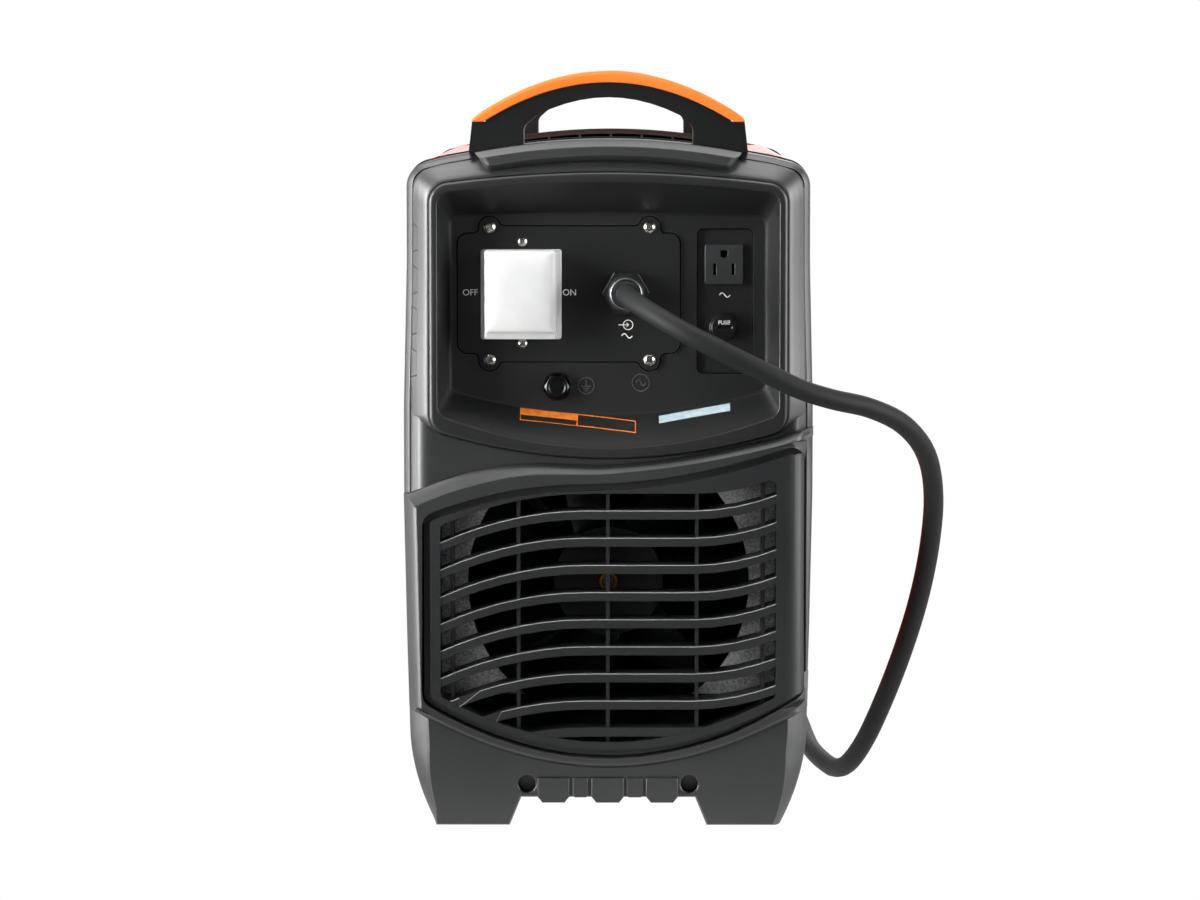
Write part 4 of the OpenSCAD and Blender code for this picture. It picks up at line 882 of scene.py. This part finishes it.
def stroke(shell, path, width, level, height, closed=False):
    """A raised line of some width that follows a path, such as an embossed or printed mark."""
    left, right = [], []
    for i, here in enumerate(path):
        back = Vector(path[i - 1] if i or closed else here)
        ahead = Vector(path[(i + 1) % len(path)] if closed or i + 1 < len(path) else here)
        along = (ahead - back).normalized()
        side = Vector((-along.y, along.x)) * width / 2
        left.append((here[0] + side.x, here[1] + side.y))
        right.append((here[0] - side.x, here[1] - side.y))
    rows = [shell.ring(side, level - rise) for side, rise in ((right, 0), (right, height), (left, height), (left, 0))]
    for a, b in zip(rows, rows[1:]):
        shell.band(a, b, closed)
    if not closed:
        for k in (0, -1):
            shell.faces.append(tuple(row[k] for row in rows))


def wave_line(x, z, wide, high, count=18):
    """One period of a wave, the sign for alternating current."""
    return [(x + wide * (k / count - 0.5), z + high / 2 * math.sin(2 * math.pi * k / count)) for k in range(count + 1)]


# embossed signs beside the earth bolt: protective earth, and alternating current
signs = Mould()
earth_at, current_at = (-15.5, 302.9), (22.4, 305)
for (x, z), r in ((earth_at, 5.6), (current_at, 5.9)):
    stroke(signs, circle(x, z, r, 40), 0.7, recess_deep, 0.5, closed=True)
x, z = earth_at
stroke(signs, [(x, z + 3.8), (x, z - 0.4)], 0.8, recess_deep, 0.5)
for k, half in enumerate((3.4, 2.2, 1)):
    stroke(signs, [(x - half, z - 0.4 - 1.5 * k), (x + half, z - 0.4 - 1.5 * k)], 0.8, recess_deep, 0.5)
stroke(signs, wave_line(current_at[0], current_at[1], 6.8, 4), 0.9, recess_deep, 0.5)
# the raised strokes of the signs are coloured paler than the floor of the recess
signs = signs.piece("embossed_signs", moulded("pale_sign_nylon", "3a3b3c", "505152", rough=0.45))


# ---- Blank label strips
# Two self-adhesive strips of printed film lie on the sloping floor of the recess. They are
# left plain.


def strip(x0, x1, z0, z1, tall, lift=0.2):
    """A thin strip on the lower wall between two places, given the height of its middle at each end."""
    shell = Mould()
    rows = []
    for k in range(5):
        row = []
        for i in range(15):
            x = x0 + (x1 - x0) * i / 14
            z = z0 + (z1 - z0) * i / 14 + tall * (k / 4 - 0.5)
            near, far = (low + x * x / (2 * low_r) for _, _, _, low, low_r, _ in (mouth_size, floor_size))
            inwards = (z - near) / (far - near)
            row.append((x, rear_y + 3.1 + (recess_deep - 3.1) * inwards - lift, z + 0.15))
        start = len(shell.points)
        shell.points += row
        rows.append(list(range(start, start + 15)))
    for a, b in zip(rows, rows[1:]):
        shell.band(a, b, closed=False)
    return shell


def label_film(name, dark, light, rough=0.35):
    """Printed film: even ink with faint mottling and a few scuffs in its gloss."""
    material, shader, place = new_skin(name)
    tint(noise(place, 260.0, 3.0), 0.3, dark, 0.7, light).feeds(shader, "Base Color")
    (rough - 0.1 + noise(place, 45.0, 6.0, 0.7) * 0.25).feeds(shader, "Roughness")
    return material


orange_film = label_film("orange_film", "d8691a", "f08b35")
black_film = label_film("black_film", "1a1a1a", "242322")
blue_film = label_film("blue_film", "a9bcc4", "c3d3d9")
for name, size, film in (("orange_band", (-61, 19, 283.8, 275.2, 7.6), orange_film),
                         ("black_band", (-21, 18.4, 279.5, 275.3, 6.4, 0.26), black_film),
                         ("black_foot", (-60.4, -22, 281.9, 277.7, 3, 0.26), black_film),
                         ("blue_strip", (35, 84, 279.8, 288.6, 4.6), blue_film)):
    label = strip(*size).piece(name, film)


# ---- Breaker on its plate, under a boot
# A steel plate screwed in the recess holds the three-pole breaker. Its ganged toggles are
# covered by a boot of frosted silicone, clamped by a flange under two screws.

plate_level = recess_deep - 2
plate_paint = moulded("plate_paint", "0f1010", "171818", rough=0.45, grain=1500)
dress("breaker_plate", plate_paint, edge=0.7, steps=3)


def front_outline(node):
    """The outer edge of a solid's front face, read from its mesh: x and z in millimetres."""
    skin = joined_skin(node)
    level = min(v.co.y for v in skin.verts) + 0.01 * mm
    rim = [e for e in skin.edges
           if max(v.co.y for v in e.verts) < level and sum(f.normal.y < -0.9 for f in e.link_faces) == 1]
    here = min((v for e in rim for v in e.verts), key=lambda v: v.co.x)
    loop = []
    while rim:
        ahead = next((e for e in rim if here in e.verts), None)
        if not ahead:
            break
        rim.remove(ahead)
        loop.append((here.co.x / mm, here.co.z / mm))
        here = ahead.other_vert(here)
    turn = sum(a[0] * b[1] - b[0] * a[1] for a, b in zip(loop, loop[1:] + loop[:1]))
    skin.free()
    return loop if turn > 0 else loop[::-1]


# the plate and the outlet's pocket are each bounded by a near-black strip of painted shade, as in a gap, and by a thin
# raised edge of the tub coloured paler as a painted highlight
plate_edge = front_outline("breaker_plate")
gap, brim = Mould(), Mould()
for loop, level in ((plate_edge, recess_deep), (rounded_box(pocket_x, pocket_z, 4, -0.4), recess_deep + 0.5)):
    out = [shrink(loop, -a) for a in (0, 0.95, 1.35)]
    gap.loft([(out[0], level + 0.4), (out[0], level - 0.35), (out[1], level - 0.35)])
    brim.loft([(out[1], level + 0.3), (out[1], level - 0.45), (out[2], level - 0.45), (out[2], level + 0.3)])
gap = gap.piece("shadow_gap", rubber("gap_shade_black", "010101", "040404", rough=0.9, Specular_IOR_Level=0.05))
brim = brim.piece("highlit_tub_brim", moulded("brim_highlight_nylon", "2e2f30", "434445", rough=0.4))
nickel = metal("screw_nickel", "c9c5bd", "f6f3ee", rough=0.11, streak=(300, 300, 300))
for name in ("breaker_plate_screws", "breaker_cover_screws"):
    dress(name, nickel, edge=0.25)
dress("breaker_body", moulded("case_plastic", "c9c7c0", "dcdad4", rough=0.4), edge=0.4)
dress("breaker_toggles", moulded("toggle_plastic", "17181a", "232426", rough=0.35), edge=0.6, steps=3)

boot_x, boot_z = -60.2, 366.4
boot_half, boot_high, boot_arch, boot_lift = 24.9, 29.9, 2.3, 2.8


def boot_ring(half, high):
    """A ring of the boot about its middle."""
    corners = [(-half, -high), (half, -high), (half, high), (-half, high)]
    return round_corners([(boot_x + x, boot_z + z) for x, z in corners], 2, steps=9)


boot_shell = Mould()
flange_rings = ((27.9, 31.1, 32), (27.9, 31.1, 30.6), (27.5, 30.7, 30.1), (26, 30.4, 30), (25.4, 30.2, 29.4))
rows = [(boot_ring(half, high), level) for half, high, level in flange_rings]
rows += [(boot_ring(boot_half - a, boot_high - a), level) for a, level in ((0.1, 22), (0.2, 11))]
for a, level in ((0.3, 8.6), (0.6, 7.1), (1.2, 5.9), (2.4, 4.9), (5, 4), (10, 3.3), (17, 3)):
    rise = boot_arch * (28.7 - a) / 28.7
    rows.append(([(x, boot_z + boot_lift + (z - boot_z) * 0.96 + (z > boot_z) * rise * (1 - ((x - boot_x) / 25) ** 2))
                  for x, z in boot_ring(boot_half - a, boot_high - a)], level))
outer, inner = boot_shell.loft(rows)
boot_shell.faces.append(tuple(inner))
silicone, skin, place = new_skin("boot_silicone", Roughness=0.32, Subsurface_Weight=0.35, Subsurface_Scale=0.006,
                                 Subsurface_Radius=(1.0, 1.0, 1.0), IOR=1.41)
tint(noise(place, 60.0, 4.0), 0.2, "c2c3c3", 0.8, "cececd").feeds(skin, "Base Color")
relief(noise(place, 1600.0), 0.25, 0.05).feeds(skin, "Normal")
boot = boot_shell.piece("switch_boot", silicone, sharp=50)
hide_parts("breaker_cover")


def lettering(name, words, x, z, tall, level, material, body="root", turned=False, bold=0):
    """Flat printed letters on a face that looks along the unit."""
    data = bpy.data.curves.new(name, "FONT")
    data.body, data.size, data.extrude, data.offset = words, tall * 1.42 * mm, 0.03 * mm, bold * mm
    data.align_x = data.align_y = "CENTER"
    data.materials.append(material)
    made = bpy.data.objects.new(name, data)
    made.rotation_euler = (math.pi / 2, 0, math.pi if turned else 0)
    sign = -1 if turned else 1
    made.location = (sign * x * mm, sign * (rear_y + level - 0.02) * mm, z * mm)
    bpy.context.scene.collection.objects.link(made)
    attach(made, body)
    return made


print_white = label_film("print_white", "e6e6e5", "fbfbfa", rough=0.5)
for words, x in (("OFF", -95.4), ("ON", -26.8)):
    mark = lettering("mark_" + words, words, x, 367.4, 4.3, plate_level, print_white)

# printed signs: supply input under the gland, alternating current under it and under the outlet
printed = Mould()
x, z = 13.6, 345.2
stroke(printed, circle(x, z, 3.3, 32), 0.55, plate_level, 0.04, closed=True)
for line in ([(x - 6.6, z), (x + 0.4, z)], [(x - 1, z + 1.3), (x + 0.4, z), (x - 1, z - 1.3)]):
    stroke(printed, line, 0.6, plate_level, 0.04)
for x, z, level in ((12.8, 337.6, plate_level), (80.4, 365.6, recess_deep + pocket_deep)):
    stroke(printed, wave_line(x, z, 7.4, 3), 0.75, level, 0.04)
printed = printed.piece("printed_signs", print_white)


# ---- Cord gland
# A hexagonal nylon gland with a bright domed ring holds the cord by a rubber seal, and a
# plated locknut holds it behind the plate.

dress("gland_body", moulded("gland_nylon", "0d0e0f", "171819", rough=0.26, shine=1.0), edge=0.8, steps=3)
gland_chrome = metal("gland_chrome", "6f7173", "b4b5b6", rough=0.34, streak=(200, 200, 200))
dress("gland_dome", gland_chrome, edge=0.25, steps=3)
dress("gland_seal", rubber("seal_rubber", "131314", "1e1f1f"), edge=0.5)
zinc = metal("zinc_plate", "9b9c9b", "c4c5c4", rough=0.34)
dress("gland_locknut", zinc, edge=0.4)


# ---- Outlet, fuse and earth bolt
# The heater outlet is a snap-in socket of black nylon. The fuse sits under a slotted cap
# below it, and the earth bolt is black-oxide steel with a washer face.

dress("outlet", moulded("outlet_nylon", "28292a", "353637", rough=0.34, shine=0.8, round_edge=0.6), edge=0)
# near-black blocks set inside the outlet's three slots are painted shade
slots = Mould()
outlet_x, outlet_z = 79.8, 387
slot_front, slot_back = recess_deep + 1.2, recess_deep + 3
for x0, x1, z0, z1 in ((-7.3, -5.4, -7.4, 0.4), (5.4, 7.3, -7.4, 0.4), (-2.4, 2.4, 5, 9.5)):
    slots.block((outlet_x + x0, slot_front, outlet_z + z0), (outlet_x + x1, slot_back, outlet_z + z1), soft=0.1)
slots = slots.piece("slot_shade_blocks", rubber("slot_shade_black", "020202", "050505", rough=0.9, Specular_IOR_Level=0.05))
fuse_nylon = moulded("fuse_nylon", "0a0b0c", "131415", rough=0.24, shine=0.9, round_edge=1.2)
dress("fuse_holder", fuse_nylon, edge=0.35)
dress("fuse_cap", fuse_nylon, edge=0.5, steps=3)
fuse_low, fuse_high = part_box("fuse_cap")
fuse_x, fuse_z = ((fuse_low[k] + fuse_high[k]) / 2 / mm for k in (0, 2))
mark = lettering("mark_FUSE", "FUSE", fuse_x, fuse_z + 3.3, 2.7, fuse_low[1] / mm - rear_y, print_white,
                 body="fuse_head", bold=0.06)
glass, skin, place = new_skin("fuse_glass", Roughness=0.05, Transmission_Weight=0.9, IOR=1.5)
tint(noise(place, 90.0), 0.3, "cfd8d6", 0.7, "e6ecea").feeds(skin, "Base Color")
dress("fuse_link", glass, edge=0.4)
oxide = metal("bolt_oxide", "2a2b2c", "464748", rough=0.28, streak=(60, 60, 60))
bolt_x, bolt_z = -35.5, 302.6
bolt_face, bolt_seat, bolt_tip, bolt_flat = 25.6, 32, 56, 7.75


def hexagon(grow=0.0, limit=99):
    """Points round the bolt's head, which stands on a flat with its corners to the sides."""
    loop = []
    for k in range(48):
        a = 2 * math.pi * k / 48
        r = min(limit, bolt_flat / math.cos((a % (math.pi / 3)) - math.pi / 6) + grow)
        loop.append((bolt_x + r * math.cos(a), bolt_z + r * math.sin(a)))
    return loop


earth_head = Mould()
rows = [(hexagon(), bolt_seat)]
for grow, drop in ((0, 0.35), (-0.25, 0)):
    loop = hexagon(grow)
    rows.append((loop, [bolt_face + drop + 0.7 * max(0, math.hypot(x - bolt_x, z - bolt_z) - 7.3) for x, z in loop]))
dish = ((7.2, 0), (6.1, 0), (5.8, 0.15), (5.5, 0.7), (5.2, 0.9), (1, 0.9))
rows += [(hexagon(limit=r), bolt_face + d) for r, d in dish]
first, last = earth_head.loft(rows)
earth_head.faces.append(tuple(last))
collar_rows = [(8.6, bolt_seat - 0.1), (9.7, bolt_seat - 0.1), (10, bolt_seat + 0.2), (10, recess_deep - 0.2),
               (9.8, recess_deep), (4, recess_deep), (4, bolt_tip - 0.6), (3.4, bolt_tip)]
first, last = earth_head.loft([(circle(bolt_x, bolt_z, r, 48), d) for r, d in collar_rows])
earth_head.faces.append(tuple(last))
earth_head = earth_head.piece("earth_head", oxide, sharp=25)
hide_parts("earth_bolt")
dress("earth_nut", zinc, edge=0.4)


# ---- Handles
# Each end has a nylon arch bolted through the crest of its moulding. A soft orange grip is
# moulded over the top of the arch.

handle_nylon = moulded("handle_nylon", "0a0b0c", "121314", rough=0.4, shine=0.4)
for name in ("rear_handle", "front_handle"):
    dress(name, handle_nylon, edge=2.2, steps=3)
dress("handle_bolts", zinc, edge=0.4)

grip_near, grip_far, grip_thick, grip_low = 10, 48, 7.9, 485.2
handle_top, arch_curve = 520, 136


def grip_sleeve():
    """A band swept along the arch: crowned on top, rounded at its edges and tapered at its ends."""
    shell = Mould()
    rings = []
    mid, half_deep = (grip_near + grip_far) / 2, (grip_far - grip_near) / 2
    for x in [-93.3, -93.1, -92.6, -91.8] + spread(-91, 91, 46) + [91.8, 92.6, 93.1, 93.3]:
        top = handle_top - x * x / (2 * arch_curve)
        low = max(top - grip_thick, grip_low)
        ease = max(0.0, (abs(x) - 91.8) / 1.5)
        top -= 1.4 * (1 - math.sqrt(1 - min(1, max(0, (abs(x) - 88) / 5.3)) ** 2))
        wide = half_deep - 1.4 * ease
        soft = min(2.6, (top - low) * 0.6)
        start = len(shell.points)
        turns = [math.pi * k / 16 for k in range(9)]
        profile = [(wide - soft + soft * math.sin(a), top - soft + soft * math.cos(a)) for a in turns]
        section = [(0, top)] + [(u, v - 0.5 * (u / wide) ** 2) for u, v in profile]
        section += [(wide, low + 0.8), (wide - 0.8, low)]
        section += [(-u, v) for u, v in section[:0:-1]]
        shell.points += [(x, rear_y + mid + u, v) for u, v in section]
        rings.append(list(range(start, len(shell.points))))
    for a, b in zip(rings, rings[1:]):
        shell.band(a, b)
    shell.faces += [tuple(rings[0]), tuple(rings[-1])]
    return shell


grip_rubber = rubber("grip_rubber", "e56a1c", "f57c2e", rough=0.6, grain=900, depth=0.04,
                     Specular_IOR_Level=0.3)
for name, node, turned in (("rear_grip_sleeve", "rear_grip", False), ("front_grip_sleeve", "front_grip", True)):
    sleeve = grip_sleeve().piece(name, grip_rubber, turned=turned, sharp=55)
    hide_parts(node)


# ---- Controls of the front end
# A tinted window over the display, five small lamps, a fluted knob on its potentiometer
# and two push buttons stand on the fascia.

window, skin, place = new_skin("tinted_window", Coat_Weight=0.8, Coat_Roughness=0.04)
haze = noise(place, 30.0, 4.0)
tint(haze, 0.3, "08090b", 0.8, "15171a").feeds(skin, "Base Color")
(haze * 0.1 + 0.06).feeds(skin, "Roughness")
dress("display_window", window, edge=0.3)
lens, skin, place = new_skin("lamp_lens", Transmission_Weight=0.4, IOR=1.49)
ripple = noise(place, 500.0)
tint(ripple, 0.3, "2f7d3a", 0.7, "56b862").feeds(skin, "Base Color")
(ripple * 0.1 + 0.12).feeds(skin, "Roughness")
dress("indicator_lamps", lens, edge=0.5, steps=3)
dress("current_knob", moulded("knob_nylon", "141516", "222324", rough=0.38), edge=0.5, steps=3)
dress("knob_pot", zinc, edge=0.3)
button_nylon = moulded("button_nylon", "9a9c9d", "b6b8b9", rough=0.35)
for name in ("mode_button", "gas_button"):
    dress(name, button_nylon, edge=0.8, steps=3)

# the knob's scale: short and long strokes with numbers, and a sign over each button
scale = Mould()
knob_x, knob_z, number_r = -52, 318, 29.5


def scale_point(k, r):
    """A place at one of the eleven marks round the knob."""
    a = math.radians(-150 + 30 * k)
    return knob_x + r * math.sin(a), knob_z + r * math.cos(a)


for k in range(11):
    reach = (21.5, 25.5) if k % 5 == 0 else (22, 24.4)
    stroke(scale, [scale_point(k, r) for r in reach], 0.7, fascia_deep, 0.04)
for x in (30, 66):
    stroke(scale, circle(x, knob_z, 9.3, 40), 0.5, fascia_deep, 0.04, closed=True)
for x in (-36, -12, 12, 36, 60):
    stroke(scale, [(x - 4, 344.6), (x + 4, 344.6)], 0.5, fascia_deep, 0.04)
for x in (26, 29):
    stroke(scale, [(x, 331), (x + 3, 331)], 0.6, fascia_deep, 0.04)
stroke(scale, wave_line(66, 332, 7, 2.6), 0.6, fascia_deep, 0.04)
stroke(scale, rounded_box((-65, 65), (369, 415), 5), 0.6, fascia_deep, 0.04, closed=True)
scale = scale.piece("panel_scale", print_white, turned=True)
for k in (0, 5, 10):
    number = lettering(f"scale_{k}", str(k), *scale_point(k, number_r), 3.4, fascia_deep, print_white, turned=True)


# ---- Sockets of the front end
# The torch socket, the work socket and the hose tail for air are turned brass, seated in
# round wells of the panel.

socket_brass = metal("socket_brass", "a8853a", "dbbb6c", rough=0.24, streak=(60, 60, 60))
for name in ("torch_socket", "work_socket", "air_inlet"):
    dress(name, socket_brass, edge=0.5, steps=3)


# ---- Cover, base pan and screws
# The cover is folded sheet steel in orange-red powder coat with cooling slots in its
# sides. The base pan is galvanised, and plated screws hold both.

powder, skin, place = new_skin("cover_powder", Coat_Weight=0.2, Coat_Roughness=0.2, Sheen_Weight=0.15,
                               Sheen_Roughness=0.3)
peel, flow = noise(place, 520.0), noise(place, 5.0, 3.0)
scuff = (noise(place, 150.0) > 0.74) * 0.3
red = tint(flow + scuff, 0.3, "cb3f20", 0.8, "df532d")
# the inner face of the sheet, inside its bends, is coloured near black as painted shade inside the casing
across, up = (place.node("SeparateXYZ", {}, {0: place}, output=k) for k in (0, 2))
bend_x, bend_z, bend_r, sheet = 0.1126, 0.4355, 0.026, 0.0014
past = across.math("MAXIMUM", across.math("ABSOLUTE", across) - bend_x, 0.0)
above = up.math("MAXIMUM", up - bend_z, 0.0)
outside = (past * past + above * above) ** 0.5 > bend_r - sheet / 2
place.node("MixRGB", {}, {"Fac": outside, "Color1": ink("1b1917"), "Color2": red}).feeds(skin, "Base Color")
(flow * 0.1 + peel * 0.08 + 0.24).feeds(skin, "Roughness")
relief(peel, 0.35, 0.08).feeds(skin, "Normal")
dress("cover", powder, edge=0.35)

# fine mesh glued inside the cover, behind its slots
mesh_cloth = rubber("mesh_cloth", "0d0e0e", "191a1a", rough=0.8)
for name, turned in (("left_mesh", False), ("right_mesh", True)):
    cloth = Mould()
    cloth.block((-136.9, 168, 142), (-136.2, 392, 276), soft=0.2)
    cloth = cloth.piece(name, mesh_cloth, turned=turned)

# rubber gaskets over the shoulders, where the cover meets the end mouldings
seam_profile = ((0.6, 0.2), (-0.9, 0.2), (-1.1, 0.5), (-1.1, 2), (-0.9, 2.3), (0.6, 2.3))
seam_arch = [p for p in outline if p[1] > 392]
for name, turned in (("rear_seam", False), ("front_seam", True)):
    seam = Mould()
    seam.loft([(shrink(seam_arch, a)[1:-1], deep + d) for a, d in seam_profile], closed=False)
    seam = seam.piece(name, rubber(name + "_rubber", "0c0c0d", "161617", rough=0.6), turned=turned)
dress("cover_screws", nickel, edge=0.5, steps=3)
# the galvanised zinc is coloured near white and barely metallic, a painted light so that the fan plate reads lit
# behind the louvres
galvanised = metal("galvanised", "babcbd", "fafafa", rough=0.5, cell=1100.0, Metallic=0.1)
dress("base_pan", galvanised, edge=0.3)
dress("bezel_screws", oxide, edge=0.3)


# ---- Fan and chassis plates
# The fan draws air in through the louvres. It hangs on a galvanised plate that shows
# behind their outer ends, and its hub turns on a spindle with a brass collar.

dress("fan_plate", galvanised, edge=0.25)
# the bulkhead and shelf take a much darker copy of the zinc, painted shade inside the chassis
shaded_zinc = metal("shaded_zinc", "3a3c3d", "55585a", rough=0.6, cell=900.0, Metallic=0.2)
for name in ("front_bulkhead", "shelf"):
    dress(name, shaded_zinc, edge=0.25)
fan_nylon = moulded("fan_nylon", "121314", "1c1d1e", rough=0.45)
for name in ("fan_frame", "fan_rotor"):
    dress(name, fan_nylon, edge=0.4)

fan_at = (0, 165)
collar = Mould()
rows = [(6.6, 50.4), (6.6, 48.6), (6.3, 48.2), (4.6, 48.2), (4.4, 48.5)]
collar.loft([(circle(*fan_at, r, 40), d) for r, d in rows])
collar = collar.piece("spindle_collar", metal("collar_brass", "c07a2c", "f0a850", rough=0.25))
pivot = Mould()
rows = [(4.3, 50), (4.3, 47.9), (3.9, 47.5), (1.2, 47.5), (0.8, 47.9)]
first, last = pivot.loft([(circle(*fan_at, r, 32), d) for r, d in rows])
pivot.faces.append(tuple(last))
pivot = pivot.piece("spindle_end", metal("spindle_steel", "50606c", "93a5b2", rough=0.25))


# ---- Power parts inside
# Heatsinks, transformer, choke, boards and capacitors fill the chassis. They show faintly
# through the louvres and the slots.

# the heatsinks, the transformer's core, the choke's copper, the valve's brass and the output bars are coloured near
# black, painted shade inside the chassis
dress("heatsinks", metal("sink_aluminium", "2a2b2c", "3c3e40", rough=0.4, streak=(40, 4, 40)), edge=0.3)
dress("transformer", moulded("shaded_core_lacquer", "0d0b09", "18130f", rough=0.5), edge=0.6)
shaded_copper_wire = metal("shaded_copper_wire", "0e0805", "1b1009", rough=0.5, streak=(900, 900, 20), Metallic=0.8)
dress("choke", shaded_copper_wire, edge=1, steps=3)
for name in ("power_board", "control_board"):
    dress(name, moulded("circuit_" + name, "123d22", "1f5a34", rough=0.35, grain=500), edge=0.2)
dress("capacitors", label_film("capacitor_film", "1d2440", "2c3560"), edge=1.2, steps=3)
dress("air_valve", metal("shaded_valve_brass", "2c2411", "4a3d20", rough=0.4), edge=0.6)
dress("air_hose", rubber("hose_rubber", "17181a", "26282a"), edge=0)
dress("output_bars", metal("shaded_bar_copper", "1c110b", "2e1c12", rough=0.5), edge=0.5)
